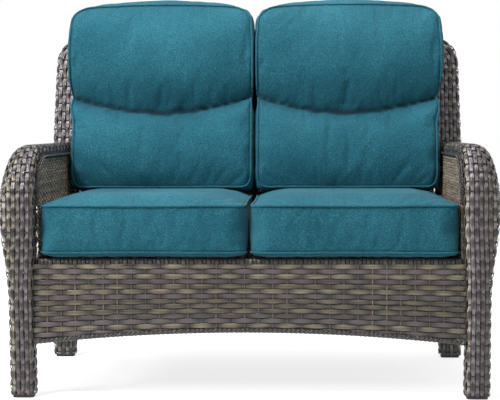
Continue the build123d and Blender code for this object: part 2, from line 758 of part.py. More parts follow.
seat_places = [(ring_x - rail_size, y, rail_middle) for y in seat_bolt_y]
fastener_set("seat_side", seat_places, (1, 0, 0), rail_outer_x - ring_x + rail_size, True)
back_places = [(x, ring_back - rail_size, rail_middle) for x in back_bolt_x]
fastener_set("seat_back", back_places, (0, 1, 0), rail_size + spacer_length + tube_wall, False)
spacers = []
for x in back_bolt_x:
    spacer = across(spacer_radius, (x, ring_back, rail_middle), spacer_length, (0, 1, 0))
    spacers.append(spacer - across(bolt_radius + fit, (x, ring_back, rail_middle), spacer_length, (0, 1, 0)))
parts["seat_back_spacers"] = Compound(children=spacers)
forward = (0, -cos(tilt), sin(tilt))
bolt_starts = [Vector(bolt_x, s, -wing_half) for s in (upper_bolt_s, lower_bolt_s)]
arm_places = [tuple(back_plane.from_local_coords(start)) for start in bolt_starts]
fastener_set("arm_back", arm_places, forward, wing_depth + end_plate, True)
parts["washers"] = Compound(children=washers)
parts["nuts"] = Compound(children=nuts)
caps = []
cap_bore = washer_thickness + bolt_head_height + fit
for place in arm_places:
    cap = across(washer_radius + fit + cap_wall, place, -(cap_bore + cap_wall), forward)
    caps.append(cap - across(washer_radius + fit, place, -cap_bore, forward))
parts["arm_back_caps"] = Compound(children=[shape for cap in caps for _, shape in sides(cap)])


# Cushions: lofts through level or tilted sections, with drawn-in sides
def cushion_loop(plane, u0, u1, v0, v1, corner, pull):
    """Rounded four-sided face whose sides bow inwards by pull."""
    turn = corner * (1 - cos(radians(quarter_turn / 2)))
    half_u, half_v = (u0 + u1) / 2, (v0 + v1) / 2
    edges = [
        ThreePointArc((u0 + corner, v0), (half_u, v0 + pull), (u1 - corner, v0)),
        ThreePointArc((u1 - corner, v0), (u1 - turn, v0 + turn), (u1, v0 + corner)),
        ThreePointArc((u1, v0 + corner), (u1 - pull, half_v), (u1, v1 - corner)),
        ThreePointArc((u1, v1 - corner), (u1 - turn, v1 - turn), (u1 - corner, v1)),
        ThreePointArc((u1 - corner, v1), (half_u, v1 - pull), (u0 + corner, v1)),
        ThreePointArc((u0 + corner, v1), (u0 + turn, v1 - turn), (u0, v1 - corner)),
        ThreePointArc((u0, v1 - corner), (u0 + pull, half_v), (u0, v0 + corner)),
        ThreePointArc((u0, v0 + corner), (u0 + turn, v0 + turn), (u0 + corner, v0)),
    ]
    return plane * make_face(edges)


def seat_cushion():
    x0, x1 = cushion_gap / 2, panel_x - cushion_side_gap
    y0 = apron_y - seat_overhang
    y1 = wing_front(seat_height) - seat_back_gap
    base = seat_height + fit
    piping = seat_height + seat_cushion_height
    levels = [
        (base, seat_edge_inset), (base + seat_edge, 0), ((base + piping) / 2, seat_waist_inset), (piping, 0),
        (piping + seat_crown / 2, seat_crown_inset / 3), (piping + seat_crown, seat_crown_inset),
    ]
    faces = []
    for z, inset in levels:
        u0, u1, v0, v1 = x0 + inset, x1 - inset, y0 + inset, y1 - inset
        faces.append(cushion_loop(Plane(origin=(0, 0, z)), u0, u1, v0, v1, seat_corner, side_pull))
    return loft(faces, ruled=True)


for hand, shape in sides(seat_cushion()):
    parts[f"{hand}_seat_cushion"] = shape


# Back cushion: a head pillow sewn over a lumbar part, so that a smile-shaped seam parts them across the front
back_cushion_half_span = panel_x - back_cushion_side_gap


def back_loft(base_s, sections, rear):
    """Loft up the back through sections given as shares: height, thickness and how far the sides draw in."""
    x0, x1 = cushion_gap / 2, back_cushion_half_span
    faces = []
    for height_share, thickness_share, inset_share in sections:
        s = base_s + height_share * back_cushion_height
        level = back_plane * Plane(origin=(0, s, 0), x_dir=(1, 0, 0), z_dir=(0, 1, 0))
        front = -rear - thickness_share * lumbar_thickness
        inset = inset_share * back_corner
        faces.append(cushion_loop(level, x0 + inset, x1 - inset, front, -rear, back_corner, side_pull))
    return loft(faces, ruled=True)


def back_cushion(base_s):
    rear = wing_half + fit
    lumbar = back_loft(base_s, lumbar_shares, rear + lumbar_set)
    side_x = back_cushion_half_span
    end_s = base_s + smile_end_share * back_cushion_height
    middle_s = base_s + smile_middle_share * back_cushion_height
    top = base_s + back_cushion_height + overrun
    x0, x1 = -overrun, side_x + overrun
    smile = ThreePointArc((0, end_s), (side_x / 2, middle_s), (side_x, end_s))
    rim = Polyline((side_x, end_s), (x1, end_s), (x1, top), (x0, top), (x0, end_s), (0, end_s))
    zone = extrude(make_face([*smile.edges(), *rim.edges()]), amount=overall_depth, both=True)
    return lumbar + (back_loft(base_s, pillow_shares, rear) & back_plane * zone)


base_s = (seat_height + seat_cushion_height - back_cushion_sink - knee_height) / cos(tilt)
for hand, shape in sides(back_cushion(base_s)):
    parts[f"{hand}_back_cushion"] = shape

os.makedirs("parts", exist_ok=True)
for name, shape in parts.items():
    solids = list(shape.solids())
    export_step(solids[0] if len(solids) == 1 else Compound(children=solids), f"parts/{name}.step")
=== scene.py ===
# Patio loveseat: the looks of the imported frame, in metres. X runs to the right as seen from the front, which faces -Y,
# and Z is up; left and right are as seen from the front. Sections follow the loveseat as it is put together.
import math
import bmesh
import bpy
import numpy as np
from mathutils import Matrix, Vector
from mathutils.bvhtree import BVHTree
from mathutils.kdtree import KDTree


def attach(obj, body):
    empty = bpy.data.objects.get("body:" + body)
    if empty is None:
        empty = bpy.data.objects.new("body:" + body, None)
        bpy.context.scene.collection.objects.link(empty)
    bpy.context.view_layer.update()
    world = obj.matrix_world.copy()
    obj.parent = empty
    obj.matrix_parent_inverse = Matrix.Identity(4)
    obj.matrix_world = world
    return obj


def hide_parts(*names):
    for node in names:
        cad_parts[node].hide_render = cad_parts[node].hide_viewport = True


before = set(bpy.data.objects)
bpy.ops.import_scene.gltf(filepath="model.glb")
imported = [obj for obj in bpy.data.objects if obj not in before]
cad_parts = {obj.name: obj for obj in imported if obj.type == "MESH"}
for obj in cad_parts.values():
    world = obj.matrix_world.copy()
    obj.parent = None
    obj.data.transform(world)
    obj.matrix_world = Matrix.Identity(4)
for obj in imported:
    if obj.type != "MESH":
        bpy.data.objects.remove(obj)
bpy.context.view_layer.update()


# Welded frame: round and square steel tube, powder coated dark brown after welding.
# The tubes, rails, ties and plates are the frame's own solids and only take their finish here.
class Term:
    """An output of a node, which takes part in sums written as on paper."""

    def __init__(self, tree, socket):
        self.tree, self.socket = tree, socket

    def __getitem__(self, name):
        """Another output of the same node."""
        return Term(self.tree, self.socket.node.outputs[name])

    def act(self, operation, *others):
        """One Math node on this value, such as COSINE, or MINIMUM with another value."""
        return self.tree.node("ShaderNodeMath", dict(enumerate((self, *others))), operation=operation)

    def __add__(self, other):
        return self.act("ADD", other)

    def __sub__(self, other):
        return self.act("SUBTRACT", other)

    def __rsub__(self, other):
        return self.tree.node("ShaderNodeMath", {0: other, 1: self}, operation="SUBTRACT")

    def __mul__(self, other):
        return self.act("MULTIPLY", other)

    def __truediv__(self, other):
        return self.act("DIVIDE", other)

    __radd__, __rmul__ = __add__, __mul__


class Tree:
    """A node tree that is built by calls: node() adds a node with its settings first and then its sockets."""

    def __init__(self, nodes):
        self.nodes = nodes

    def node(self, kind, sockets=None, out=0, ramp=None, **settings):
        made = self.nodes.nodes.new(kind)
        for name, value in settings.items():
            setattr(made, name, value)
        for place, (position, colour) in enumerate(ramp or ()):
            if place > 1:
                made.color_ramp.elements.new(position)
            made.color_ramp.elements[place].position = position
            made.color_ramp.elements[place].color = (*colour, 1)
        for name, value in (sockets or {}).items():
            if isinstance(value, Term):
                self.nodes.links.new(value.socket, made.inputs[name])
            else:
                made.inputs[name].default_value = value
        return Term(self, made.outputs[out]) if made.outputs else made

    def place(self):
        return self.node("ShaderNodeTexCoord", out="Object")

    def read(self, name):
        """A value that the mesh holds under a name."""
        return self.node("ShaderNodeAttribute", out="Fac", attribute_name=name)

    def noise(self, place, scale, detail, roughness=0.5):
        sockets = {"Vector": place, "Scale": scale, "Detail": detail, "Roughness": roughness}
        return self.node("ShaderNodeTexNoise", sockets)

    def mix(self, share, *colours):
        """A colour between two others, each given as a term or as red, green and blue."""
        first, second = (colour if isinstance(colour, Term) else (*colour, 1) for colour in colours)
        return self.node("ShaderNodeMix", {0: share, 6: first, 7: second}, out=2, data_type="RGBA")

    def bump(self, height, strength, distance):
        return self.node("ShaderNodeBump", {"Strength": strength, "Distance": distance, "Height": height})

    def vector(self, x=0.0, y=0.0, z=0.0):
        return self.node("ShaderNodeCombineXYZ", {0: x, 1: y, 2: z})

    def split(self, vector):
        """The x of a vector; its y and z are ["Y"] and ["Z"]."""
        return self.node("ShaderNodeSeparateXYZ", {0: vector})

    def vectors(self, operation, first, second=None):
        """One Vector Math node on a vector, or on two."""
        sockets = {0: first} if second is None else {0: first, 1: second}
        return self.node("ShaderNodeVectorMath", sockets, operation=operation)

    def scaled(self, vector, share):
        return self.node("ShaderNodeVectorMath", {0: vector, "Scale": share}, operation="SCALE")


def material(name, paint):
    """A new material: paint gets its tree and the principled shader's node, and wires them up."""
    made = bpy.data.materials.new(name)
    made.use_nodes = True
    paint(Tree(made.node_tree), made.node_tree.nodes["Principled BSDF"])
    return made


def wire(tree, shader, **links):
    """Links or sets the shader's own sockets; an underscore in a name stands for a space."""
    for name, value in links.items():
        socket = shader.inputs[name.replace("_", " ")]
        if isinstance(value, Term):
            tree.nodes.links.new(value.socket, socket)
        else:
            socket.default_value = value


def powder_coat(tree, shader):
    place = tree.place()
    orange_peel, dust = tree.noise(place, 900, 2), tree.noise(place, 14, 5, 0.6)
    colour = tree.mix(dust, (0.022, 0.017, 0.014), (0.05, 0.041, 0.034))
    wire(tree, shader, Base_Color=colour, Roughness=0.34 + 0.2 * dust, Normal=tree.bump(orange_peel, 0.12, 0.0004))


def finish_nodes(names, finish):
    """Gives the frame's own nodes a finish."""
    for name in names:
        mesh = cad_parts[name].data
        mesh.materials.clear()
        mesh.materials.append(finish)


hands = ("left", "right")
sides = (("left", -1), ("right", 1))
finish_nodes([f"{hand}_{piece}" for hand in hands for piece in (
    "arm_inner_tube", "arm_outer_tube", "arm_ties", "arm_end_plate", "side_rail", "side_rail_plate", "side_tube",
    "side_bars",
)] + [
    "back_outer_hoop", "back_inner_hoop", "back_lower_rail", "back_hoop_ties", "back_bars", "rear_apron_tube",
    "rear_apron_bars", "seat_ring", "seat_bearers", "front_apron_tube", "front_apron_bars",
], material("powder coat", powder_coat))


# Bolts, washers, nuts and spacers: zinc-plated steel, dull silver with a faint cloudy passivation.
# They join the arm units, the back unit and the seat unit.
def zinc_plate(tree, shader):
    cloud = tree.noise(tree.place(), 180, 3)
    colour = tree.mix(cloud, (0.5, 0.5, 0.49), (0.68, 0.68, 0.7))
    wire(tree, shader, Base_Color=colour, Metallic=1, Roughness=0.28 + 0.25 * cloud)


finish_nodes(["seat_side_bolts", "seat_back_bolts", "arm_back_bolts", "washers", "nuts", "seat_back_spacers"],
             material("zinc plate", zinc_plate))


# Foot glides and bolt caps: moulded black plastic with a fine spark texture.
# The glides are pushed into the ends of the legs, and the caps over the bolt heads.
def moulded_plastic(tree, shader):
    place = tree.place()
    spark, scuff = tree.noise(place, 1500, 2), tree.noise(place, 60, 4)
    colour = tree.mix(scuff, (0.014, 0.013, 0.013), (0.035, 0.033, 0.031))
    wire(tree, shader, Base_Color=colour, Roughness=0.5 + 0.2 * scuff, Normal=tree.bump(spark, 0.25, 0.0003))


finish_nodes([f"{hand}_{end}_glide" for hand in hands for end in ("front", "rear")] + ["arm_back_caps"],
             material("moulded plastic", moulded_plastic))


# Resin wicker: flat extruded strands, grooved along their length and streaked in greys, browns and khaki.
# Each strand goes over one stake and under the next, and its neighbours do the opposite.
strand_pitch, strand_width, strand_thickness = 0.0129, 0.0132, 0.0013
stake_pitch, stake_radius, stake_width = 0.035, 0.001, 0.0048
stake_bow, stake_step, steps_per_stake = 0.0004, 0.007, 4
strand_black = (0.012, 0.01, 0.009)


def resin(shade, tints, seed_shift, painted_over_under_light=0.25, lift=0.44):
    """Paint for strands: each has one of the tints and goes to the shade colour in its streaks; it is painted lighter
    where it bulges over a stake and darker where it dips under, which is painted light and shade.
    """
    def paint(tree, shader):
        strand, along, across, over = (tree.read(name) for name in ("strand", "along", "across", "over"))
        run = tree.vector(along * 9 + strand * 70, across * 0.55 + strand * 31, seed_shift)
        streak, fine = tree.noise(run, 1.6, 3, 0.55), tree.noise(run, 60, 2)
        batch = tree.noise(tree.place(), 7, 1)
        hue = (strand * 7.31).act("FRACT") + (streak - 0.5) * 0.5
        tint = tree.node("ShaderNodeValToRGB", {"Fac": hue}, ramp=tints)
        # Painted light and shade: over is 1 where the strand bulges over a stake and -1 where it dips under, so bulges
        # are painted lighter and dips darker.
        tone = (strand - 0.5) * 0.2 + (streak - 0.5) * 1.6 + (batch - 0.5) * 0.3 + over * painted_over_under_light + lift
        groove = (across * 9.4 + 0.4 * streak).act("COSINE")
        colour = tree.mix(groove * 0.14 + 0.14, tree.mix(tone, shade, tint), strand_black)
        bump = tree.bump(groove * 0.7 + fine * 0.5, 0.6, 0.0004)
        wire(tree, shader, Base_Color=colour, Roughness=0.17 + 0.2 * fine, Normal=bump)
    return paint


# Wicker for the aprons, back panel and seat deck: its tints are darker than the frame wicker's, partly the resin's own
# browner colour and partly painted shade low on the seat.
wicker = material("wicker strand", resin((0.012, 0.009, 0.008), (
    (0.0, (0.06, 0.045, 0.039)), (0.28, (0.14, 0.113, 0.122)), (0.5, (0.072, 0.057, 0.047)),
    (0.72, (0.155, 0.128, 0.077)), (1.0, (0.25, 0.213, 0.15)),
), 0))
# Frame wicker: the same resin for the arm, leg and back-frame sleeves, with more lavender in its tints; it is painted
# lighter, with stronger painted light and shade over and under the stakes, for the light these sleeves catch: painted
# light.
painted_lit_frame_wicker = material("lighter painted frame wicker", resin((0.012, 0.009, 0.009), (
    (0.0, (0.14, 0.112, 0.112)), (0.3, (0.35, 0.305, 0.34)), (0.52, (0.16, 0.13, 0.12)),
    (0.76, (0.35, 0.31, 0.23)), (1.0, (0.52, 0.47, 0.43)),
), 3, 0.5, 0.52))
dark_wicker = material("dark wicker strand", resin((0.01, 0.008, 0.008), (
    (0.2, (0.034, 0.029, 0.026)), (0.8, (0.07, 0.062, 0.057)),
), 5))
tan_wicker = material("tan wicker strand", resin((0.06, 0.045, 0.03), (
    (0.2, (0.5, 0.37, 0.26)), (0.8, (0.75, 0.6, 0.45)),
), 9))


def tree_inputs(tree, sockets):
    """Adds the named inputs of a geometry tree and its one output, and returns the inputs as terms."""
    for name, kind in sockets.items():
        tree.nodes.interface.new_socket(name, in_out="INPUT", socket_type=kind)
    tree.nodes.interface.new_socket("Geometry", in_out="OUTPUT", socket_type="NodeSocketGeometry")
    group = tree.nodes.nodes.new("NodeGroupInput")
    return {name: Term(tree, group.outputs[name]) for name in sockets}


def store(tree, geometry, name, value):
    sockets = {"Geometry": geometry, "Name": name, "Value": value}
    return tree.node("GeometryNodeStoreNamedAttribute", sockets, data_type="FLOAT", domain="POINT")


def here(tree):
    """The place of each point, split."""
    return tree.split(tree.node("GeometryNodeInputPosition"))


def joined(tree, parts):
    """One smooth geometry from several."""
    join = tree.node("GeometryNodeJoinGeometry")
    for part in parts:
        tree.nodes.links.new(part.socket, join.socket.node.inputs[0])
    return tree.node("GeometryNodeSetShadeSmooth", {"Geometry": join})


def swept(tree, curves, width, thickness, points, finish):
    """Strands of a flat section along curves; across holds the place across a strand, from -1 to 1."""
    ring = tree.node("GeometryNodeCurvePrimitiveCircle", {"Resolution": points, "Radius": 1.0}, mode="RADIUS")
    ring = store(tree, ring, "across", here(tree))
    size = tree.vector(width / 2, thickness / 2, 1.0)
    ring = tree.node("GeometryNodeTransform", {"Geometry": ring, "Scale": size})
    made = tree.node("GeometryNodeCurveToMesh", {"Curve": curves, "Profile Curve": ring, "Fill Caps": True})
    return tree.node("GeometryNodeSetMaterial", {"Geometry": made, "Material": finish})


def weave_tree():
    """Strands and stakes laid out flat, woven, trimmed to an outline, and then wrapped on a surface by its run map."""
    tree = Tree(bpy.data.node_groups.new("plain weave", "GeometryNodeTree"))
    number, whole, finish = "NodeSocketFloat", "NodeSocketInt", "NodeSocketMaterial"
    given = tree_inputs(tree, {
        "Surface": "NodeSocketGeometry", "Outline": "NodeSocketObject", "Trim": "NodeSocketBool", "Length": number,
        "Breadth": number, "Strands": whole, "Stake Pitch": number, "Strand Width": number,
        "Strand Thickness": number, "Stake Radius": number, "Stake Width": number, "Profile Points": whole,
        "Seed": whole, "Strand": finish, "Stake": finish,
    })
    length, breadth, pitch = given["Length"], given["Breadth"], given["Stake Pitch"]
    run_map = tree.node("GeometryNodeInputNamedAttribute", {"Name": "run"}, data_type="FLOAT_VECTOR")
    outline = tree.node("GeometryNodeObjectInfo", {"Object": given["Outline"]}, out="Geometry",
                        transform_space="ORIGINAL")
    rim = 0.0005

    def run_place():
        """Each point's place on the run map, kept off its rim, and its place on the flat."""
        place = here(tree)
        u, v = ((part / span).act("MINIMUM", 1 - rim).act("MAXIMUM", rim)
                for part, span in ((place, length), (place["Y"], breadth)))
        return tree.vector(u, v), place

    def sample(mesh, uv, out, **value):
        sockets = {"Mesh": mesh, "Source UV Map": run_map, "Sample UV": uv, **value}
        return tree.node("GeometryNodeSampleUVSurface", sockets, out=out, data_type="FLOAT_VECTOR")

    def trimmed(curves):
        """Cuts curves at the outline's edge and keeps the parts inside it, as separate runs."""
        uv, _ = run_place()
        lines = tree.node("GeometryNodeCurveToMesh", {"Curve": curves})
        sockets = {"Geometry": lines, "Selection": given["Trim"] * (1 - sample(outline, uv, "Is Valid"))}
        kept = tree.node("GeometryNodeDeleteGeometry", sockets, domain="POINT")
        kept = tree.node("GeometryNodeMeshToCurve", {"Mesh": kept})
        return tree.node("GeometryNodeSetCurveNormal", {"Curve": kept}, mode="Z_UP")

    def rows(count, start, step, end, samples):
        """Straight runs side by side on the flat."""
        sockets = {"Count": count, "Start Location": start, "Offset": step}
        starts = tree.node("GeometryNodeMeshLine", sockets, mode="OFFSET")
        run = tree.node("GeometryNodeCurvePrimitiveLine", {"End": end}, mode="POINTS")
        run = tree.node("GeometryNodeResampleCurve", {"Curve": run, "Count": samples})
        laid = tree.node("GeometryNodeInstanceOnPoints", {"Points": starts, "Instance": run})
        return tree.node("GeometryNodeRealizeInstances", {"Geometry": laid})

    def marked(runs, index, seed, along):
        """Runs with a random number each as strand, and their length so far as along."""
        chance = tree.node("FunctionNodeRandomValue", {"ID": index, "Seed": seed}, out=1, data_type="FLOAT")
        return store(tree, store(tree, runs, "strand", chance), "along", along)

    def raised(runs, height):
        offset = tree.vector(0.0, 0.0, height)
        return tree.node("GeometryNodeSetPosition", {"Geometry": runs, "Offset": offset})

    row = breadth / given["Strands"]
    place = here(tree)
    strand_index = (place["Y"] / row).act("FLOOR")
    strands = rows(given["Strands"], tree.vector(0.0, row / 2), tree.vector(0.0, row), tree.vector(length),
                   (length / pitch * steps_per_stake).act("ROUND") + 1)
    strands = marked(strands, strand_index, given["Seed"], place)
    swing = ((place / pitch + strand_index) * math.pi).act("COSINE")
    wave = swing * (1.5 - 0.5 * swing * swing)
    # over is kept for the strand paint, which uses it to paint the bulges lighter and the dips darker: painted light
    # and shade.
    strands = raised(store(tree, strands, "over", wave),
                     wave * (given["Stake Radius"] + given["Strand Thickness"] / 2))
    strands = swept(tree, trimmed(strands), given["Strand Width"], given["Strand Thickness"],
                    given["Profile Points"], given["Strand"])

    stake_index = (place / pitch).act("ROUND")
    stakes = rows((length / pitch).act("FLOOR") + 1, tree.vector(), tree.vector(pitch), tree.vector(0.0, breadth),
                  (breadth / stake_step).act("ROUND") + 1)
    stakes = marked(stakes, stake_index, given["Seed"] + 1, place["Y"])
    bow = (place["Y"] / row * math.pi - math.pi / 2 + stake_index * math.pi).act("COSINE") * -stake_bow
    stakes = swept(tree, trimmed(raised(stakes, bow)), given["Stake Width"], given["Stake Radius"] * 2, 6,
                   given["Stake"])

    uv, place = run_place()
    ground = sample(given["Surface"], uv, "Value", Value=tree.node("GeometryNodeInputPosition"))
    outward = sample(given["Surface"], uv, "Value", Value=tree.node("GeometryNodeInputNormal"))
    wrapped = tree.vectors("ADD", ground, tree.scaled(tree.vectors("NORMALIZE", outward), place["Z"]))
    woven = joined(tree, (strands, stakes))
    woven = tree.node("GeometryNodeSetPosition", {"Geometry": woven, "Position": wrapped})
    woven = tree.node("GeometryNodeRealizeInstances", {"Geometry": woven})
    tree.node("NodeGroupOutput", {"Geometry": woven})
    return tree.nodes


weave_group = weave_tree()


def added(name, data):
    """A new object in the scene."""
    made = bpy.data.objects.new(name, data)
    bpy.context.scene.collection.objects.link(made)
    return made


def mapped(name, points, faces, runs):
    """A smooth mesh object whose run map holds how far along and across it each of its points lies, from 0 to 1."""
    mesh = bpy.data.meshes.new(name)
    mesh.from_pydata(points, [], faces)
    corners = [loop.vertex_index for loop in mesh.loops]
    mesh.uv_layers.new(name="run").data.foreach_set("uv", np.asarray(runs, np.float32)[corners].ravel())
    mesh.polygons.foreach_set("use_smooth", [True] * len(faces))
    return added(name, mesh)


def run_mesh(name, grid, runs):
    """A surface of quads through a grid of points."""
    grid = np.asarray(grid, float)
    index = np.arange(grid.shape[0] * grid.shape[1]).reshape(grid.shape[:2])
    quads = np.stack([index[:-1, :-1], index[1:, :-1], index[1:, 1:], index[:-1, 1:]], -1).reshape(-1, 4)
    return mapped(name, grid.reshape(-1, 3).tolist(), quads.tolist(), np.reshape(runs, (-1, 2)))


def grown(name, base, group, values):
    """Runs a geometry tree on a base object and returns the result as a plain mesh object; the base goes away."""
    modifier = base.modifiers.new("grow", "NODES")
    modifier.node_group = group
    sockets = {item.name: item.identifier for item in group.interface.items_tree if item.in_out == "INPUT"}
    for key, value in values.items():
        modifier[sockets[key]] = value
    base.update_tag()
    ready = bpy.context.evaluated_depsgraph_get()
    mesh = bpy.data.meshes.new_from_object(base.evaluated_get(ready), preserve_all_data_layers=True, depsgraph=ready)
    mesh.name = name
    bpy.data.objects.remove(base)
    return added(name, mesh)


def settle(made, slot, nodes=(), body="frame"):
    """Turns every closed strand's faces outwards and hangs the piece on its body in place of the frame's nodes."""
    shell = bmesh.new()
    shell.from_mesh(made.data)
    bmesh.ops.recalc_face_normals(shell, faces=shell.faces)
    shell.to_mesh(made.data)
    shell.free()
    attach(made, body)
    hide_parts(*nodes)
    return made


def woven(name, nodes, surface, length, breadth, outline=None, strand=wicker, stake=dark_wicker, scale=1.0, seed=1,
          stake_gap=stake_pitch, stake_size=stake_radius, stake_breadth=stake_width, points=8, slot="woven_resin"):
    """Weaves a piece on a surface, in place of the frame's own nodes; scale is how fine or coarse the weave is."""
    thickness_scale = scale ** 0.5
    made = grown(name, surface, weave_group, {
        "Outline": outline, "Trim": outline is not None, "Length": length, "Breadth": breadth,
        "Strands": max(1, round(breadth / (strand_pitch * scale))), "Stake Pitch": stake_gap * scale,
        "Strand Width": strand_width * scale, "Strand Thickness": strand_thickness * thickness_scale,
        "Profile Points": points, "Stake Radius": stake_size * thickness_scale,
        "Stake Width": stake_breadth * thickness_scale, "Seed": seed, "Strand": strand, "Stake": stake,
    })
    if outline is not None:
        bpy.data.objects.remove(outline)
    return settle(made, slot, nodes)


# Back frame sleeve: one run of wicker up the left wing, over the top rail and down the right wing.
# Its strands run along the frame, and the stakes go round it.
half_width, half_depth, back_height, knee_height = 0.615, 0.38, 0.93, 0.3
tilt = math.radians(12)
wing_half, wing_edge, wing_corner = 0.023, 0.014, 0.066
wing_top_x, wing_knee_x, wing_inner_x, rail_start_x = 0.587, 0.6, 0.517, 0.49
wing_flat = wing_half - wing_edge
wing_top = (back_height - knee_height - wing_edge - wing_flat * math.sin(tilt)) / math.cos(tilt) + wing_edge
knee_y = half_depth - (wing_top - wing_edge) * math.sin(tilt) - wing_flat * math.cos(tilt) - wing_edge
opening_top, opening_corner, knee_gap = wing_top - 0.06, 0.02, 0.004
skin_middle = 0.0015
skin_edge = wing_edge - skin_middle
# The sleeves take the frame wicker, which is painted lighter for the light they catch.
rolled = {
    "strand": painted_lit_frame_wicker, "scale": 0.88, "stake_gap": 0.029, "stake_size": 0.002, "stake_breadth": 0.0036,
}


def in_back(x, s, f):
    """A point of the reclined back: x across, s up the back from the knee and f forward of its middle plane."""
    return (x, knee_y + s * math.sin(tilt) - f * math.cos(tilt), knee_height + s * math.cos(tilt) + f * math.sin(tilt))


def stroke(start, end, count, corner=None):
    """Points from start towards end, along a line or along a bend that leans on a corner; end is left out."""
    t = np.arange(count)[:, None] / count
    start, end = np.asarray(start, float), np.asarray(end, float)
    if corner is None:
        return start + (end - start) * t
    return (1 - t) ** 2 * start + 2 * t * (1 - t) * np.asarray(corner, float) + t * t * end


def sleeve_section(a0, a1, d0, d1, inner, shoulder, under, overlap=0.014):
    """Section of a sleeve, a from the inner to the outer side and d from front to back, as points and distances.
    Distances count from the front inner corner; both ends pass the seam at the back inner corner by the overlap."""
    sx, sy = shoulder
    lap, turn, wall, front_turn = 3, 4, 8, 6
    points = np.concatenate([
        stroke((a0 + under + overlap, d1), (a0 + under, d1), lap),
        stroke((a0 + under, d1), (a0, d1 - under), turn, (a0, d1)),
        stroke((a0, d1 - under), (a0, d0 + inner), wall),
        stroke((a0, d0 + inner), (a0 + inner, d0), front_turn, (a0, d0)),
        stroke((a0 + inner, d0), (a1 - sx, d0), 6),
        stroke((a1 - sx, d0), (a1, d0 + sy), 12, (a1, d0)),
        stroke((a1, d0 + sy), (a1, d1 - under), 6),
        stroke((a1, d1 - under), (a1 - under, d1), turn, (a1, d1)),
        stroke((a1 - under, d1), (a0 + under, d1), wall),
        stroke((a0 + under, d1), (a0, d1 - under), turn, (a0, d1)),
        stroke((a0, d1 - under), (a0, d1 - under - overlap), lap),
        [(a0, d1 - under - overlap)],
    ])
    run = distances(points)
    run -= run[lap + turn + wall + front_turn // 2]
    return points, run, run[lap - 1], run[-lap]


def distances(points):
    """How far along a line each of its points lies."""
    return np.concatenate([[0], np.cumsum(np.linalg.norm(np.diff(points, axis=0), axis=1))])


def sleeve(name, sections, places, lengths, flip=False):
    """The surface and the trimming outline of a sleeve: sections along it, and what puts each of them in space."""
    low = -math.ceil(-min(run[0] for _, run, _, _ in sections) / strand_pitch) * strand_pitch
    breadth = math.ceil((max(run[-1] for _, run, _, _ in sections) - low) / strand_pitch) * strand_pitch
    length = lengths[-1]

    def run_row(u, values):
        return [(u / length, (v - low) / breadth) for v in values]

    grid = [[place(a, d) for a, d in points] for (points, _, _, _), place in zip(sections, places)]
    runs = [run_row(u, run) for (_, run, _, _), u in zip(sections, lengths)]
    rim = [run_row(u, (start, (start + end) / 2, end)) for (_, _, start, end), u in zip(sections, lengths)]
    past_end = 0.01
    rim[0] = [(-past_end, v) for _, v in rim[0]]
    rim[-1] = [(1 + past_end, v) for _, v in rim[-1]]
    if flip:
        grid, runs = [row[::-1] for row in grid], [row[::-1] for row in runs]
    outline = run_mesh(f"{name}_outline", [[(u, v, 0) for u, v in row] for row in rim], rim)
    return run_mesh(f"{name}_surface", grid, runs), length, breadth, outline


def rolled_weave(name, nodes, sections, places, lengths, seed, flip=False):
    """Weaves a sleeve in place of the frame's own nodes."""
    surface, length, breadth, outline = sleeve(name, sections, places, lengths, flip)
    woven(name, nodes, surface, length, breadth, outline, seed=seed, **rolled)


def hoop_stations():
    """Inner and outer points along the back frame from the left knee to the right knee, with the distance run."""
    inner_low, outer_low = opening_top - opening_corner, wing_top - wing_corner
    half = [((wing_inner_x, s), (wing_knee_x + (wing_top_x - wing_knee_x) * s / wing_top, s))
            for s in np.linspace(knee_gap, inner_low, 30)]
    for share in np.linspace(0, 1, 13)[1:]:
        in_turn, up_turn = 1 - math.cos(math.pi / 2 * share), math.sin(math.pi / 2 * share)
        half.append(((wing_inner_x - opening_corner * in_turn, inner_low + opening_corner * up_turn),
                     (wing_top_x - wing_corner * in_turn, outer_low + wing_corner * up_turn)))
    half += [((x, opening_top), (x, wing_top)) for x in np.linspace(rail_start_x, 0, 24)]
    whole = np.array(half + [((-i[0], i[1]), (-o[0], o[1])) for i, o in reversed(half[:-1])])
    return whole, distances(whole.mean(axis=1))


stations, lengths = hoop_stations()
sections, places = [], []
for inner, outer in stations:
    span = np.linalg.norm(outer - inner)
    sections.append(sleeve_section(skin_middle, span - skin_middle, skin_middle - wing_half, wing_half - skin_middle,
                                   skin_edge, (skin_edge, skin_edge), skin_edge))
    places.append(lambda a, d, inner=inner, way=(outer - inner) / span: in_back(*(inner + way * a), -d))
rolled_weave("back_frame_weave", ["left_wing_wrap", "right_wing_wrap", "top_rail_wrap"], sections, places, lengths, 3)


# Rear legs: the back frame's tube goes on down past the knee to the floor in a sleeve of its own.
# The sleeve ends just above the foot glide.
foot_inner_x, foot_outer_x, rear_foot_y, glide_height, end_gap = 0.533, 0.595, 0.29, 0.006, 0.001


def between(first, second, share):
    return first + (second - first) * share


for hand, side in sides:
    sections, places, lengths = [], [], []
    half = wing_half / math.cos(tilt) - skin_middle
    for height in np.linspace(knee_height - knee_gap, glide_height + end_gap, 14):
        share = (knee_height - height) / knee_height
        inner = between(wing_inner_x, foot_inner_x, share) + skin_middle
        outer = between(wing_knee_x, foot_outer_x, share) - skin_middle
        middle = between(knee_y, rear_foot_y, share)
        sections.append(sleeve_section(inner, outer, middle - half, middle + half, skin_edge, (skin_edge, skin_edge),
                                       skin_edge))
        places.append(lambda a, d, height=height: (a * side, d, height))
        lengths.append(knee_height - knee_gap - height)
    rolled_weave(f"{hand}_rear_leg_weave", [f"{hand}_rear_leg_wrap"], sections, places, lengths, 5 + side, side > 0)


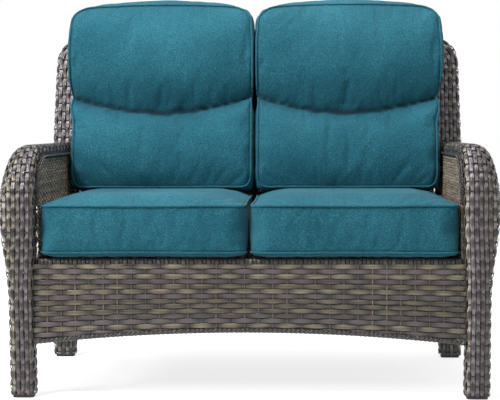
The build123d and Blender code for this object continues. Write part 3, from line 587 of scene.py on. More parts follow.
# Back panel: one woven sheet over the back's opening, stakes upright, held by the uprights behind the cushions.
# Below the knee it goes on as the rear apron, whose lower edge is arched and wrapped.
def flat_outline(name, points, length, breadth):
    """A trimming outline from the corner points of a flat sheet, in metres along and across it."""
    runs = [(u / length, v / breadth) for u, v in points]
    return mapped(f"{name}_outline", [(u, v, 0) for u, v in points], [tuple(range(len(points)))], runs)


def sheet_grid(name, us, vs, place):
    """The surface of a sheet: place puts a point that lies u along and v across it in space."""
    grid = [[place(u, v) for v in vs] for u in us]
    runs = [[(u / max(us), v / max(vs)) for v in vs] for u in us]
    return run_mesh(f"{name}_surface", grid, runs)


def quarter_bend(centre, radius, start, count=7):
    """Points of a quarter turn that starts at an angle in degrees."""
    angles = np.radians(np.linspace(start, start + 90, count))
    return [(centre[0] + radius * math.cos(a), centre[1] + radius * math.sin(a)) for a in angles]


panel_front = -0.0128
panel_half, panel_f = wing_inner_x - end_gap, panel_front - skin_middle
length, breadth, corner = 2 * panel_half, opening_top - end_gap, opening_corner
outline = [(0, 0), (length, 0), *quarter_bend((length - corner, breadth - corner), corner, 0),
           *quarter_bend((corner, breadth - corner), corner, 90)]
surface = sheet_grid("back_panel", (0, length), (0, breadth), lambda u, v: in_back(u - panel_half, v, panel_f))
woven("back_panel_weave", ["back_panel"], surface, length, breadth,
      flat_outline("back_panel", outline, length, breadth), seed=11)

apron_low, apron_rise, apron_hem = 0.135, 0.032, 0.004
apron_tightness, apron_row_bend = 0.965, 0.5
splay = math.atan2(rear_foot_y - knee_y, knee_height)


def arch(x, half_span, rise):
    """Height of an arched lower edge above its ends."""
    radius = (half_span ** 2 + rise ** 2) / (2 * rise)
    return math.sqrt(radius ** 2 - x ** 2) - (radius - rise)


def in_rear_leg(x, height, f):
    """A point of the rear legs' leaning plane at a height, f forward of its middle."""
    y = between(knee_y, rear_foot_y, (knee_height - height) / knee_height)
    return (x, y - f * math.cos(splay), height - f * math.sin(splay))


def apron_sheet(name, half, span, high, place, nodes, seed):
    """A woven apron: its lower rows bend half-way to the arch, and the arch trims them."""
    length, breadth = 2 * half, (high - apron_low) * apron_tightness

    def lowest_row(u):
        return apron_low + arch(u - half, span, apron_rise) * apron_row_bend

    def warped(u, v):
        return place(u - half, between(lowest_row(u), high, v / breadth))

    def hem(u):
        edge = apron_low + arch(u - half, span, apron_rise) + apron_hem
        return (edge - lowest_row(u)) / (high - lowest_row(u)) * breadth

    outline = [(u, hem(u)) for u in np.linspace(0, length, 40)] + [(length, breadth), (0, breadth)]
    surface = sheet_grid(name, np.linspace(0, length, 80), np.linspace(0, breadth, 12), warped)
    woven(name, nodes, surface, length, breadth, flat_outline(name, outline, length, breadth), stake=wicker, seed=seed)


apron_sheet("rear_apron_weave", 0.529, foot_inner_x, knee_height - end_gap,
            lambda x, z: in_rear_leg(x, z, panel_f), ["rear_apron"], 13)


# Seat deck: wicker strands across the seat ring and its bearers, under the cushions.
# Its stakes are thin and far apart, so it lies nearly flat.
ring_x, deck_front, deck_back, deck_z = 0.5217, -0.322, 0.2054, 0.3479
length, breadth = 2 * ring_x, deck_back - deck_front
surface = sheet_grid("seat_deck", (0, length), (0, breadth), lambda u, v: (u - ring_x, deck_front + v, deck_z))
woven("seat_deck_weave", ["seat_deck"], surface, length, breadth, seed=17, stake_gap=0.05, stake_size=0.0009, points=6)


# Front rail: a dark strand wound closely round the seat's front rail, which shows as a plain band over the apron.
# It goes up the front of the rail and back over its top, under the cushions' edge.
rail_bottom, seat_height, apron_y, rail_back, rail_sink = 0.334, 0.35, -0.35, -0.322, 0.0008
rail_rise, rail_half = seat_height - rail_bottom, ring_x - 0.004
length, breadth = rail_rise + rail_back - apron_y, 2 * rail_half


def round_rail(u, v):
    if u <= rail_rise:
        return (v - rail_half, apron_y + rail_sink, rail_bottom + u)
    return (v - rail_half, apron_y + (u - rail_rise), seat_height - 2 * rail_sink)


rail_steps = (0, 0.008, 0.0155, 0.0165, 0.024, 0.034, length)
surface = sheet_grid("front_rail", rail_steps, np.linspace(breadth, 0, 3), round_rail)
woven("front_rail_wrap_strands", ["front_rail_wrap"], surface, length, breadth, strand=dark_wicker, scale=0.8, seed=19,
      stake_gap=0.055, stake_size=0.0002, slot="dark_resin")


# Front apron: the woven sheet that hangs from the front rail, its lower edge arched over its own tube.
# Its strands run from leg to leg, and the lower ones end at the arch.
front_arch_half = 0.547
apron_sheet("front_apron_weave", 0.535, front_arch_half, rail_bottom + end_gap,
            lambda x, z: (x, apron_y + skin_middle, z), ["front_apron"], 23)


# Rolled arms: long strands run up the front leg, over the bend and back along the arm to the wing.
# The section opens from the slim leg to the broad roll, and narrows a little where it meets the back.
arm_height, arm_inner_x, arm_bend, arm_taper = 0.628, 0.5253, 0.138, 0.008
leg_depth, bulge_depth, roll_depth, flare_height = 0.048, 0.06, 0.112, 0.24
leg_corner, roll_inner_corner, roll_shoulder, under_corner = 0.015, 0.024, (0.056, 0.098), 0.009
lean = math.radians(3.2)
bend_y, bend_z = arm_bend - half_depth, arm_height - arm_bend


def leg_y(height, inset):
    """Y of the line that lies inset behind the front face of the front leg, at a height."""
    start = bend_z - (arm_bend - inset) * math.sin(lean)
    return bend_y - (arm_bend - inset) * math.cos(lean) + (start - height) * math.tan(lean)


def wing_front(height):
    return knee_y - wing_half / math.cos(tilt) + (height - knee_height) * math.tan(tilt)


def ease(share):
    return share * share * (3 - 2 * share)


def arm_stations():
    """Where each section stands: y, z, its turn in radians, then how far flare, roll and arm have gone."""
    leg_top = bend_z - arm_bend * math.sin(lean)
    stations = []
    for height in np.linspace(glide_height + end_gap, leg_top, 24):
        flare = min(max((height - flare_height) / (leg_top - flare_height), 0), 1)
        stations.append((leg_y(height, 0), height, lean, ease(flare), 0, 0))
    first_reach, last_reach = arm_bend - bulge_depth, arm_bend - roll_depth
    for share in np.linspace(0, 1, 19)[1:]:
        turn = lean - share * (math.pi / 2 + lean)
        angle, swing = math.pi + turn, math.pi / 2 * share
        reach = first_reach * last_reach / math.hypot(last_reach * math.cos(swing), first_reach * math.sin(swing))
        roll = (first_reach - reach) / (first_reach - last_reach)
        stations.append((bend_y + arm_bend * math.cos(angle), bend_z + arm_bend * math.sin(angle), turn, 1, roll, 0))
    for share in np.linspace(0, 1, 24)[1:]:
        y = between(bend_y, wing_front(arm_height) - end_gap, share)
        stations.append((y, arm_height, -math.pi / 2 - tilt * share, 1, 1, share))
    return stations


for hand, side in sides:
    sections, places = [], []
    stations = arm_stations()
    for y, z, turn, flare, roll, back in stations:
        inner = between(foot_inner_x, arm_inner_x, flare) + skin_middle
        outer = between(foot_outer_x, half_width, flare) - arm_taper * back - skin_middle
        depth = between(between(leg_depth, bulge_depth, flare), roll_depth, roll) - skin_middle
        top, *shoulder = (between(leg_corner, full, roll) - skin_middle for full in (roll_inner_corner, *roll_shoulder))
        sections.append(sleeve_section(inner, outer, skin_middle, depth, top, shoulder, under_corner - skin_middle))
        places.append(lambda a, d, y=y, z=z, turn=turn: (a * side, y + d * math.cos(turn), z + d * math.sin(turn)))
    lengths = distances([(y, z) for y, z, *_ in stations])
    rolled_weave(f"{hand}_arm_weave", [f"{hand}_arm_wrap"], sections, places, lengths, 30 + side, side < 0)


# Side panels: a finer tan weave that fills in under each arm, on the sitter's side of the frame.
# Its edge follows the leg, the bend and the arm, the wing, and the arched tube below.
panel_x, border_inset, braid_radius, side_rise, fit_gap, panel_margin = 0.522, 0.026, 0.003, 0.024, 0.0003, 0.004


def arc_through(start, middle, end, count=16):
    """Points of the circle through three points, from the first to the last."""
    (ax, ay), (bx, by), (cx, cy) = start, middle, end
    a2, b2, c2 = ax**2 + ay**2, bx**2 + by**2, cx**2 + cy**2
    d = 2 * (ax * (by - cy) + bx * (cy - ay) + cx * (ay - by))
    ux = (a2 * (by - cy) + b2 * (cy - ay) + c2 * (ay - by)) / d
    uy = (a2 * (cx - bx) + b2 * (ax - cx) + c2 * (bx - ax)) / d
    radius = math.hypot(ax - ux, ay - uy)
    first, mid, last = (math.atan2(y - uy, x - ux) for x, y in (start, middle, end))
    if (mid - first) % math.tau > (last - first) % math.tau:
        last = first - (first - last) % math.tau
    else:
        last = first + (last - first) % math.tau
    return [(ux + radius * math.cos(a), uy + radius * math.sin(a)) for a in np.linspace(first, last, count)]


def side_line(inset):
    """The edge under the arm as (y, z) points, inset behind the leg's front and the arm's top: leg, bend and arm."""
    radius, top = arm_bend - inset, arm_height - inset
    half = (math.pi + math.pi / 2 + lean) / 2
    leg_top = bend_z - radius * math.sin(lean)
    leg = [(leg_y(z, inset), z) for z in (apron_low, leg_top)]
    middle = (bend_y + radius * math.cos(half), bend_z + radius * math.sin(half))
    return leg, arc_through(leg[1], middle, (bend_y, top)), [(bend_y, top), (wing_front(top) - fit_gap, top)]


leg, bend, arm = side_line(border_inset + 2 * braid_radius + fit_gap)
knee = (wing_front(knee_height) - fit_gap, knee_height)
foot_front = rear_foot_y - wing_half / math.cos(tilt) - fit_gap
low_rear = (between(knee[0], foot_front, (knee_height - apron_low) / knee_height), apron_low)
low_middle = ((leg[0][0] + low_rear[0]) / 2, apron_low + side_rise)
edge = np.array([leg[0], *bend, arm[1], knee, low_rear, *arc_through(low_rear, low_middle, leg[0])[1:-1]])
(y0, z0), (y1, z1) = edge.min(axis=0) - panel_margin, edge.max(axis=0) + panel_margin
length, breadth = y1 - y0, z1 - z0
for hand, side in sides:
    surface = sheet_grid(f"{hand}_panel", (0, length), (0, breadth),
                         lambda u, v: ((panel_x + skin_middle) * side, y0 + u, z0 + v))
    outline = flat_outline(f"{hand}_panel", [(y - y0, z - z0) for y, z in edge], length, breadth)
    woven(f"{hand}_side_panel_weave", [f"{hand}_side_panel"], surface, length, breadth, outline, strand=tan_wicker,
          stake=tan_wicker, scale=0.55, seed=40 + side, points=6, slot="fine_woven_resin")


# Braids: three round strands plaited along the inner edge of each arm and along the aprons' lower edges.
# They hide the ends of the strands where a panel stops.
def plait_tree():
    """Three strands that cross over and under each other along a line of edges."""
    tree = Tree(bpy.data.node_groups.new("plait", "GeometryNodeTree"))
    number = "NodeSocketFloat"
    given = tree_inputs(tree, {"Line": "NodeSocketGeometry", "Turn": number, "Width": number, "Height": number,
                               "Strand Radius": number, "Strand": "NodeSocketMaterial"})
    strand_count, points_per_turn = 3, 16
    path = tree.node("GeometryNodeMeshToCurve", {"Mesh": given["Line"]})
    path = tree.node("GeometryNodeResampleCurve", {"Curve": path, "Length": given["Turn"] / points_per_turn},
                     mode="LENGTH")
    run = tree.node("GeometryNodeSplineParameter", out="Length")
    side = tree.node("GeometryNodeInputNormal")
    up = tree.vectors("CROSS_PRODUCT", tree.node("GeometryNodeInputTangent"), side)
    strands = []
    for strand in range(strand_count):
        turn = run / given["Turn"] * math.tau + strand * math.tau / strand_count
        sway = tree.scaled(side, turn.act("SINE") * given["Width"])
        hop = tree.scaled(up, (turn * 2).act("SINE") * given["Height"])
        laid = store(tree, store(tree, path, "strand", 0.2 + 0.3 * strand), "along", run)
        laid = tree.node("GeometryNodeSetPosition", {"Geometry": laid, "Offset": tree.vectors("ADD", sway, hop)})
        size = given["Strand Radius"] * 2
        strands.append(swept(tree, laid, size, size, 8, given["Strand"]))
    solid = tree.node("GeometryNodeRealizeInstances", {"Geometry": joined(tree, strands)})
    tree.node("NodeGroupOutput", {"Geometry": solid})
    return tree.nodes


plait_group = plait_tree()


def plaited(name, line, sizes, nodes=()):
    """A braid of dark strands along a line of points."""
    mesh = bpy.data.meshes.new(f"{name}_line")
    mesh.from_pydata(line, [(i, i + 1) for i in range(len(line) - 1)], [])
    values = {**sizes, "Strand": dark_wicker}
    settle(grown(name, added(f"{name}_line", mesh), plait_group, values), "dark_resin", nodes)


arm_plait = {"Turn": 0.026, "Width": 0.0032, "Height": 0.0016, "Strand Radius": 0.0021}
border_plait = {"Turn": 0.034, "Width": 0.0042, "Height": 0.0025, "Strand Radius": 0.0036}
braid_foot, braid_inset, border_lift = 0.503, border_inset + braid_radius, 0.0035
_, bend, arm = side_line(braid_inset)
leg_part = [(leg_y(z, braid_inset), z) for z in np.linspace(braid_foot, bend[0][1], 4)][:-1]
arm_part = [(y, arm[0][1]) for y in np.linspace(arm[0][0], arm[1][0] - 0.002, 14)][1:]
for hand, side in sides:
    line = [((arm_inner_x - fit_gap - braid_radius) * side, y, z) for y, z in (*leg_part, *bend, *arm_part)]
    plaited(f"{hand}_arm_braid_strands", line, arm_plait, [f"{hand}_arm_braid"])
for name, half, span, place in (
    ("front_apron_border", 0.532, front_arch_half, lambda x, z: (x, apron_y - 0.0005, z)),
    ("rear_apron_border", 0.53, foot_inner_x, lambda x, z: in_rear_leg(x, z, panel_f)),
):
    line = [place(x, apron_low + arch(x, span, apron_rise) + border_lift) for x in np.linspace(-half, half, 120)]
    plaited(name, line, border_plait)


# Seat cushions: foam in a boxed cover of heathered cloth, with a piped seam round its top and its bottom panel.
# The cover is blown up like a filled case, held at its seams, and kept within the space of the frame's solid.
cover_tones = ((0.12, (0.001, 0.028, 0.046)), (0.5, (0.007, 0.083, 0.118)), (0.85, (0.04, 0.185, 0.24)))
# seam_shade is the colour of the painted shade in the cover's seams and along its crease.
seam_shade = (0.001, 0.012, 0.02)
thread_density = 4200
cover_cell, cover_slack, cover_clear = 0.0075, 0.005, 0.0004
seam_hold, cloth_frames, cloth_cap = 0.0065, 20, 0.02
fold_waves, fold_fade = ((0.011, 1.0), (0.0067, 0.7), (0.0243, 0.5)), 0.012
seam_fold, crease_fold, crease_fold_rise = (0.0005, 0.03), (0.0014, 0.045), 0.12
# Painted shade in the seams: how dark the cover is painted near the seams and the crease, and how far from them it
# fades.
seam_shadow, seam_reach, crease_shadow, crease_reach = 0.55, 0.009, 1.35, 0.012
piping_radius, piping_sides, piping_step, piping_sink = 0.003, 8, 0.006, 0.0008


def heather(stretch):
    """Paint for the cover cloth, mottled by slubs that run along the axis with the least stretch, and darkened towards
    the seam shade colour near its seams and crease, which is painted shade.
    """
    def paint(tree, shader):
        place = tree.place()
        slub = tree.noise(tree.vectors("MULTIPLY", place, stretch), 640, 2, 0.6)
        speck, cloud = tree.noise(place, 440, 3, 0.75), tree.noise(place, 7, 2)
        tone = (slub - 0.5) * 0.9 + (speck - 0.5) * 1.1 + (cloud - 0.5) * 0.3 + 0.5
        colour = tree.node("ShaderNodeValToRGB", {"Fac": tone}, ramp=cover_tones)
        # Painted shade: the seam attribute darkens the cloth along the piped seams and the smile crease.
        colour = tree.mix(tree.read("seam") * 0.85, colour, seam_shade)
        axes = tree.split(place)
        x, y, z = ((axis * thread_density).act("SINE") for axis in (axes, axes["Y"], axes["Z"]))
        bump = tree.bump((x + y + z) * 0.3 + slub + speck, 0.3, 0.0005)
        wire(tree, shader, Base_Color=colour, Roughness=0.84 + 0.1 * speck, Normal=bump, Sheen_Weight=0.05,
             Specular_IOR_Level=0.2)
    return paint


seat_cloth = material("cover cloth crosswise", heather((0.35, 1.0, 1.0)))
back_cloth = material("cover cloth upright", heather((1.0, 1.0, 0.35)))


def skin_of(mesh):
    return BVHTree.FromPolygons([v.co for v in mesh.vertices], [tuple(p.vertices) for p in mesh.polygons])


def baked(made):
    """Puts an object's modifiers into its mesh."""
    mesh = bpy.data.meshes.new_from_object(made.evaluated_get(bpy.context.evaluated_depsgraph_get()))
    made.modifiers.clear()
    old, made.data = made.data, mesh
    bpy.data.meshes.remove(old)
    return made


def even_copy(name, node):
    """A smooth copy of a node's solid in even quads, and the solid itself for measuring against."""
    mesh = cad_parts[node].data.copy()
    mesh.materials.clear()
    shell = bmesh.new()
    shell.from_mesh(mesh)
    bmesh.ops.remove_doubles(shell, verts=shell.verts, dist=1e-5)
    bmesh.ops.recalc_face_normals(shell, faces=shell.faces)
    shell.to_mesh(mesh)
    solid = BVHTree.FromBMesh(shell)
    shell.free()
    made = added(name, mesh)
    even = made.modifiers.new("even", "REMESH")
    even.mode, even.voxel_size = "VOXEL", cover_cell
    soften = made.modifiers.new("soften", "SMOOTH")
    soften.factor, soften.iterations = 0.5, 5
    return baked(made), solid


def triples(layer, name):
    """What a mesh holds for each point as three numbers, one row for each."""
    flat = np.empty(len(layer) * 3, np.float32)
    layer.foreach_get(name, flat)
    return flat.reshape(-1, 3).astype(float)


def coordinates(mesh):
    return triples(mesh.vertices, "co")


def normals(mesh):
    return triples(mesh.vertex_normals, "vector")


def place_all(mesh, points):
    mesh.vertices.foreach_set("co", np.asarray(points, np.float32).ravel())
    mesh.update()


def dense(loop, step=0.004):
    """Points at even steps round a closed loop."""
    loop = np.concatenate([loop, loop[:1]])
    run = distances(loop)
    places = np.linspace(0, run[-1], int(run[-1] / step), endpoint=False)
    return np.stack([np.interp(places, run, loop[:, axis]) for axis in range(3)], -1)


def nearest(lines, points):
    """For each point, how far the nearest line point is, and how far that is along its line."""
    line_points = np.concatenate(lines)
    tree = KDTree(len(line_points))
    for number, point in enumerate(line_points):
        tree.insert(point, number)
    tree.balance()
    found = [tree.find(point) for point in points]
    runs = np.concatenate([distances(line) for line in lines])
    return np.array([far for _, _, far in found]), runs[[number for _, number, _ in found]]


def blown_up(made, held, pressure=4.0):
    """Blows the cover up as cloth, held at its seams; no point moves further than the cap."""
    start = coordinates(made.data)
    group = made.vertex_groups.new(name="seam")
    group.add([int(i) for i in np.flatnonzero(held)], 1.0, "REPLACE")
    cloth = made.modifiers.new("cloth", "CLOTH")
    rules = cloth.settings
    rules.quality, rules.mass, rules.vertex_group_mass = 4, 0.3, "seam"
    rules.tension_stiffness = rules.compression_stiffness = 12
    rules.shear_stiffness, rules.bending_stiffness = 5, 0.5
    rules.use_pressure, rules.uniform_pressure_force = True, pressure
    rules.shrink_min = -0.015
    rules.effector_weights.gravity = 0
    cloth.collision_settings.use_collision = False
    for number in range(1, cloth_frames + 1):
        bpy.context.scene.frame_set(number)
    moved = coordinates(made.evaluated_get(bpy.context.evaluated_depsgraph_get()).data) - start
    bpy.context.scene.frame_set(1)
    made.modifiers.clear()
    made.vertex_groups.clear()
    far = np.linalg.norm(moved, axis=1, keepdims=True)
    place_all(made.data, start + moved * np.minimum(1, cloth_cap / np.maximum(far, 1e-9)))


def kept_within(points, solid, proud):
    """Moves points that stand further out of a solid than proud, a number for each, back to that distance."""
    kept = points.copy()
    for index, point in enumerate(points):
        ground, outward, _, _ = solid.find_nearest(Vector(point))
        if (Vector(point) - ground).dot(outward) > proud[index]:
            kept[index] = ground + outward * proud[index]
    return kept


def finer(made):
    divide = made.modifiers.new("finer", "SUBSURF")
    divide.levels = divide.render_levels = 1
    return baked(made)


def one_long(vectors):
    return vectors / np.linalg.norm(vectors, axis=1, keepdims=True)


def smooth_mesh(mesh, finish):
    mesh.materials.append(finish)
    mesh.polygons.foreach_set("use_smooth", [True] * len(mesh.polygons))


def piped(name, cover, lines, finish, body):
    """Cords of piping along the closed seams of a cover, lying on its surface."""
    skin = skin_of(cover.data)
    turns = np.linspace(0, math.tau, piping_sides, endpoint=False)[None, :, None]
    points, faces = [], []
    for line in lines:
        found = [skin.find_nearest(Vector(point)) for point in dense(line, piping_step)]
        up = np.array([outward for _, outward, _, _ in found])
        path = np.array([ground for ground, _, _, _ in found]) + up * (piping_radius - piping_sink)
        for _ in range(3):
            path = (np.roll(path, 1, 0) + path * 2 + np.roll(path, -1, 0)) / 4
        ahead = one_long(np.roll(path, -1, 0) - np.roll(path, 1, 0))
        up = one_long(up - ahead * np.sum(up * ahead, axis=1, keepdims=True))
        side = np.cross(ahead, up)
        rings = path[:, None] + piping_radius * (np.cos(turns) * up[:, None] + np.sin(turns) * side[:, None])
        index = len(points) + np.arange(len(path) * piping_sides).reshape(-1, piping_sides)
        beside, beyond = np.roll(index, -1, 1), np.roll(index, -1, 0)
        quads = np.stack([index, beside, np.roll(beside, -1, 0), beyond], -1)
        points += rings.reshape(-1, 3).tolist()
        faces += quads.reshape(-1, 4).tolist()
    mesh = bpy.data.meshes.new(name)
    mesh.from_pydata(points, [], faces)
    smooth_mesh(mesh, finish)
    settle(added(name, mesh), "cushion_cover", body=body)


def round_loop(x0, x1, y0, y1, low, high, high_count=7):
    """A rounded four-sided loop as (x, y) points; low and high are the radii of its lower and upper corners."""
    return [
        *quarter_bend((x1 - high, y1 - high), high, 0, high_count),
        *quarter_bend((x0 + high, y1 - high), high, 90, high_count),
        *quarter_bend((x0 + low, y0 + low), low, 180), *quarter_bend((x1 - low, y0 + low), low, 270),
    ]


def puckered(points, outward, far, run, height, reach, seed):
    """Small folds that fan out from the seams and fade with the distance from them."""
    wave = sum(share * np.sin(run / size + number * seed) for number, (size, share) in enumerate(fold_waves, 1))
    return points + outward * (height * wave * np.exp(-far / reach) * np.minimum(1, far / fold_fade))[:, None]


def snapped(mesh, line):
    """The places on a cover that are nearest to the points of a line."""
    skin = skin_of(mesh)
    return np.array([skin.find_nearest(Vector(point))[0] for point in line])


def stuffed(name, node, seams, finish, rests, seed, shape=np.asarray, crease=None):
    """A filled cover in place of a node: seams are closed loops, and a crease is an open line sewn through the pad.
    rests says how far each point may stand out of the solid, and shape draws the cover in before it is filled."""
    made, solid = even_copy(name, node)
    points = shape(coordinates(made.data) - normals(made.data) * cover_slack)
    place_all(made.data, points)
    lines = [snapped(made.data, shape(dense(loop))) for loop in seams]
    creases = [] if crease is None else [snapped(made.data, crease)]
    blown_up(made, nearest(lines + creases, points)[0] < seam_hold)
    points, outward = coordinates(made.data), normals(made.data)
    points = puckered(points, outward, *nearest(lines, points), *seam_fold, seed)
    for line in creases:
        below = points[:, 2:] < line[:, 2].min() + crease_fold_rise
        points = puckered(points, outward * below, *nearest([line], points), *crease_fold, seed + 1)
    points = kept_within(points, solid, rests(points))
    side = np.sign(points[:, 0].mean())
    points[:, 0] = np.maximum(points[:, 0] * side, cushion_inner_x + cover_clear) * side
    place_all(made.data, points)
    made = finer(made)
    points = coordinates(made.data)
    # Painted shade: the seam attribute is strongest along the smile crease and fades within a few millimetres of the
    # crease and the piped seams.
    shade = seam_shadow * np.clip(1 - nearest(lines, points)[0] / seam_reach, 0, 1)
    for line in creases:
        shade = np.maximum(shade, np.clip(crease_shadow - nearest([line], points)[0] / crease_reach, 0, 1))
    made.data.attributes.new("seam", "FLOAT", "POINT").data.foreach_set("value", shade.astype(np.float32))
    smooth_mesh(made.data, finish)
    settle(made, "cushion_cover", [node], node)
    return made, lines


cushion_inner_x, seat_outer_x, seat_front_y, seat_rear_y = 0.0004, 0.521, -0.372, 0.1978
seat_top_seam, seat_low_seam, seat_corner = 0.483, 0.3623, 0.034
seat_arm_x, seat_foot_z, seat_back_y, seat_back_z = 0.5, 0.365, -0.06, 0.45
seat_proud, under_back_clear = 0.004, 0.0006


def seat_rests(points):
    """How far the seat cover may stand out of its solid: nowhere that it touches the frame or another cushion."""
    x, y, z = np.abs(points[:, 0]), points[:, 1], points[:, 2]
    proud = np.full(len(points), seat_proud)
    proud[(x > seat_arm_x) | (z < seat_foot_z)] = -cover_clear
    proud[(y > seat_back_y) & (z > seat_back_z)] = -under_back_clear
    return proud


for hand, side in sides:
    node = f"{hand}_seat_cushion"
    loop = round_loop(cushion_inner_x, seat_outer_x, seat_front_y, seat_rear_y, seat_corner, seat_corner)
    seams = [np.array([(x * side, y, z) for x, y in loop]) for z in (seat_top_seam, seat_low_seam)]
    made, lines = stuffed(f"{hand}_seat_cover", node, seams, seat_cloth, seat_rests, 2.0 + side)
    piped(f"{hand}_seat_piping", made, lines, seat_cloth, node)


# Back cushions: a head pillow and a lumbar pad in one cover, parted by a seam that curves across like a smile.
# Both are fullest in the middle, and the cover is drawn in at the smile, at the foot and towards both sides.
base_s, back_height_s, back_outer_x = 0.17706, 0.548, 0.518
top_s = base_s + back_height_s
smile_end, smile_middle, smile_depth, smile_sweep = 0.478, 0.382, 0.15, 0.012
pillow_depth, pillow_reach, lumbar_depth, lumbar_reach = 0.235, 0.29, 0.212, 0.13
foot_depth, foot_fill, foot_reach = 0.172, 0.04, 0.15
outer_pinch, inner_pinch, pinch_reach = 0.010, -0.003, 0.028
pillow_widening, inner_tightening, crown_lift, crown_sweep, heel_drop = 0.012, 0.004, 0.001, 0.015, 0.012
pad_proud, side_proud, top_proud, foot_proud = 0.005, 0.009, 0.007, 0.013
pad_inset, loop_lift, loop_share, loop_low_corner, loop_top_corner = 0.01, 0.005, 0.955, 0.022, 0.062


def of_back(points):
    """The places of points in the reclined back: across, up the back and forward, as in_back takes them."""
    y, z = points[:, 1] - knee_y, points[:, 2] - knee_height
    return points[:, 0], y * math.sin(tilt) + z * math.cos(tilt), z * math.sin(tilt) - y * math.cos(tilt)


def laid_on(mesh, loop, start):
    """Lays a loop of the back's plane on a solid, as seen from start, which is forward of the plane or behind it."""
    skin, laid = skin_of(mesh), []
    ahead = Vector(in_back(0, 0, 1)) - Vector(in_back(0, 0, 0))
    for x, s, _ in dense([(x, s, 0) for x, s in loop], piping_step):
        hit, _, _, _ = skin.ray_cast(Vector(in_back(x, s, start)), ahead if start < 0 else -ahead)
        if hit is not None:
            laid.append(tuple(hit))
    return np.array(laid)


def smile_height(x):
    """How far up the back the smile seam runs at a distance across, and where that is, from -1 to 1 of its half."""
    share = (np.abs(x) - (back_outer_x + cushion_inner_x) / 2) / ((back_outer_x - cushion_inner_x) / 2)
    return base_s + back_height_s * between(smile_middle, smile_end, share ** 2), share


def filled(share):
    """How full a pad is, from 0 at its seam to 1 where it is at its fullest."""
    return np.sqrt(1 - (1 - np.clip(share, 0, 1)) ** 2)


def step(value, start, end):
    """Goes smoothly from 0 where the value is at start to 1 where it is at end."""
    return ease(np.clip((value - start) / (end - start), 0, 1))


def drawn_in(points):
    """Rounds the pillow and the lumbar pad in towards the smile seam, the foot of the cushion and both its ends."""
    x, s, f = of_back(points)
    smile, share = smile_height(x)
    above, low = s - smile, smile_depth - smile_sweep * share ** 2
    full = np.where(above > 0, between(low, pillow_depth, filled(above / pillow_reach)),
                    between(low, lumbar_depth, filled(-above / lumbar_reach)))
    full = np.minimum(full, foot_depth + foot_fill * filled((s - base_s) / foot_reach))
    pinch = np.where(share > 0, outer_pinch, inner_pinch) * np.exp(-(above / pinch_reach) ** 2)
    wide = pillow_widening * step(share, 0.5, 0.9) * step(f, 0.02, 0.07) * step(s, 0.35, 0.4)
    across = np.abs(x) - pinch * step(np.abs(share), 0.88, 1) + wide - inner_tightening * step(share, -0.6, -0.95)
    crown = (crown_lift - crown_sweep * share ** 2) * step(s, top_s - 0.12, top_s)
    s = s + crown - heel_drop * step(s, base_s + 0.035, base_s) * step(f, 0.06, 0.14)
    x = np.sign(x) * np.maximum(across, cushion_inner_x + cover_clear)
    return np.stack(in_back(x, s, f - np.maximum(0, f - full) * step(f, 0.05, 0.13)), -1)


def smile_line(side):
    """The smile seam where the cover is drawn in: across the front, and in a little at both sides."""
    half, middle = (back_outer_x - cushion_inner_x) / 2, (back_outer_x + cushion_inner_x) / 2
    x = np.linspace(middle - half + 0.02, middle + half - 0.02, 90)
    s, share = smile_height(x)
    f = smile_depth - smile_sweep * share ** 2 - 0.02 * step(np.abs(share), 0.88, 1)
    return np.stack(in_back(x * side, s, f), -1)


def back_rests(points):
    """How far the back cover may stand out of its solid: less where it leans on the frame or touches its neighbour."""
    x, _, f = of_back(points)
    x, height = np.abs(x), points[:, 2]
    proud = pad_proud + side_proud * step(x, 0.43, 0.48) * step(height, 0.66, 0.69)
    proud += top_proud * step(height, 0.95, 1)
    proud = between(proud, foot_proud * step(f, 0.08, 0.12) - cover_clear, step(height, 0.53, 0.51))
    for touching in (step(x, 0.49, 0.502) * step(height, 0.665, 0.645), step(f, 0.08, 0.05)):
        proud = between(proud, -cover_clear, touching)
    return proud


for hand, side in sides:
    node = f"{hand}_back_cushion"
    loop = round_loop(cushion_inner_x + pad_inset, back_outer_x - pad_inset, base_s + loop_lift,
                      base_s + back_height_s * loop_share, loop_low_corner, loop_top_corner, 10)
    loop = [(x * side, s) for x, s in loop]
    seams = [laid_on(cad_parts[node].data, loop, start) for start in (0.5, -0.2)]
    made, lines = stuffed(f"{hand}_back_cover", node, seams, back_cloth, back_rests, 5.0 + side, drawn_in,
                          smile_line(side))
    piped(f"{hand}_back_piping", made, lines, back_cloth, node)


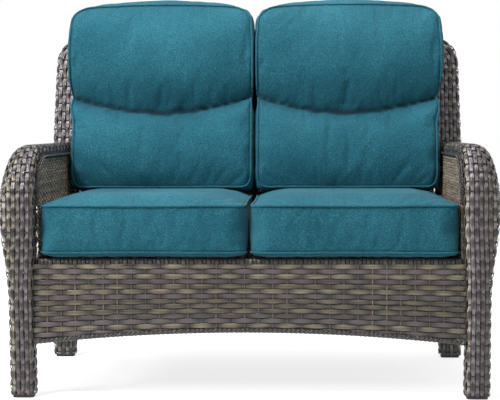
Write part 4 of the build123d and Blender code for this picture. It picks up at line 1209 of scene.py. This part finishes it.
# Floor, backdrop, lamps and camera: a plain studio, seen from where the photograph was taken.
# The floor and the world look nearly white to the camera and in reflections, and light the seat at a plain level.
def studio(tree, shader):
    wire(tree, shader, Base_Color=(0.6, 0.6, 0.6, 1), Roughness=0.9, Specular_IOR_Level=0.0)
    seen = tree.node("ShaderNodeLightPath")
    shown = seen["Is Camera Ray"].act("MAXIMUM", seen["Is Glossy Ray"])
    glow = tree.node("ShaderNodeEmission", {"Color": (1, 1, 1, 1), "Strength": 0.78})
    plain = Term(tree, shader.outputs[0])
    glowing = tree.node("ShaderNodeAddShader", {0: plain, 1: glow})
    paint = tree.node("ShaderNodeMixShader", {0: shown, 1: plain, 2: glowing})
    tree.nodes.links.new(paint.socket, tree.nodes.nodes["Material Output"].inputs["Surface"])


floor_reach = 30
floor_mesh = bpy.data.meshes.new("floor")
floor_mesh.from_pydata([(x * floor_reach, y * floor_reach, 0) for x, y in ((-1, -1), (1, -1), (1, 1), (-1, 1))], [],
                       [(0, 1, 2, 3)])
floor_mesh.materials.append(material("studio floor", studio))
floor = added("floor", floor_mesh)

world = bpy.data.worlds.new("studio")
world.use_nodes = True
bpy.context.scene.world = world
seen = Tree(world.node_tree).node("ShaderNodeLightPath")
clear = seen["Is Camera Ray"].act("MAXIMUM", seen["Is Glossy Ray"]).act("MAXIMUM", seen["Is Transmission Ray"])
background = world.node_tree.nodes["Background"]
background.inputs["Color"].default_value = (1, 1, 1, 1)
world.node_tree.links.new((clear * 0.62 + 0.38).socket, background.inputs["Strength"])

aim = Vector((0, 0, 0.5))
for name, place, size, power in (
    ("key", (-1.9, -2.2, 3.2), 0.7, 140), ("side", (-2.8, -1.8, 1.5), 0.7, 42), ("fill", (2.6, -3.4, 1.6), 2.4, 8),
    ("top", (0, -0.2, 3.4), 2.0, 80),
):
    light = bpy.data.lights.new(name, "AREA")
    light.shape, light.size, light.energy = "DISK", size, power
    lamp = added(name, light)
    lamp.location = place
    lamp.rotation_euler = (aim - Vector(place)).to_track_quat("-Z", "Y").to_euler()

focal_pixels, photo_width, sensor = 1378, 500, 36
camera = added("camera", bpy.data.cameras.new("camera"))
camera.data.sensor_width, camera.data.lens = sensor, focal_pixels / photo_width * sensor
camera.location = (0.125, -3.729, 0.672)
yaw, pitch, roll = math.radians(2.05), math.radians(-3.03), math.radians(-0.15)
camera.rotation_mode = "QUATERNION"
forward = Vector((-math.cos(pitch) * math.sin(yaw), math.cos(pitch) * math.cos(yaw), math.sin(pitch)))
turned = forward.to_track_quat("-Z", "Y").to_matrix()
camera.rotation_quaternion = (turned @ Matrix.Rotation(roll, 3, "Z")).to_quaternion()
bpy.context.scene.camera = camera
bpy.context.scene.view_settings.view_transform = "Standard"
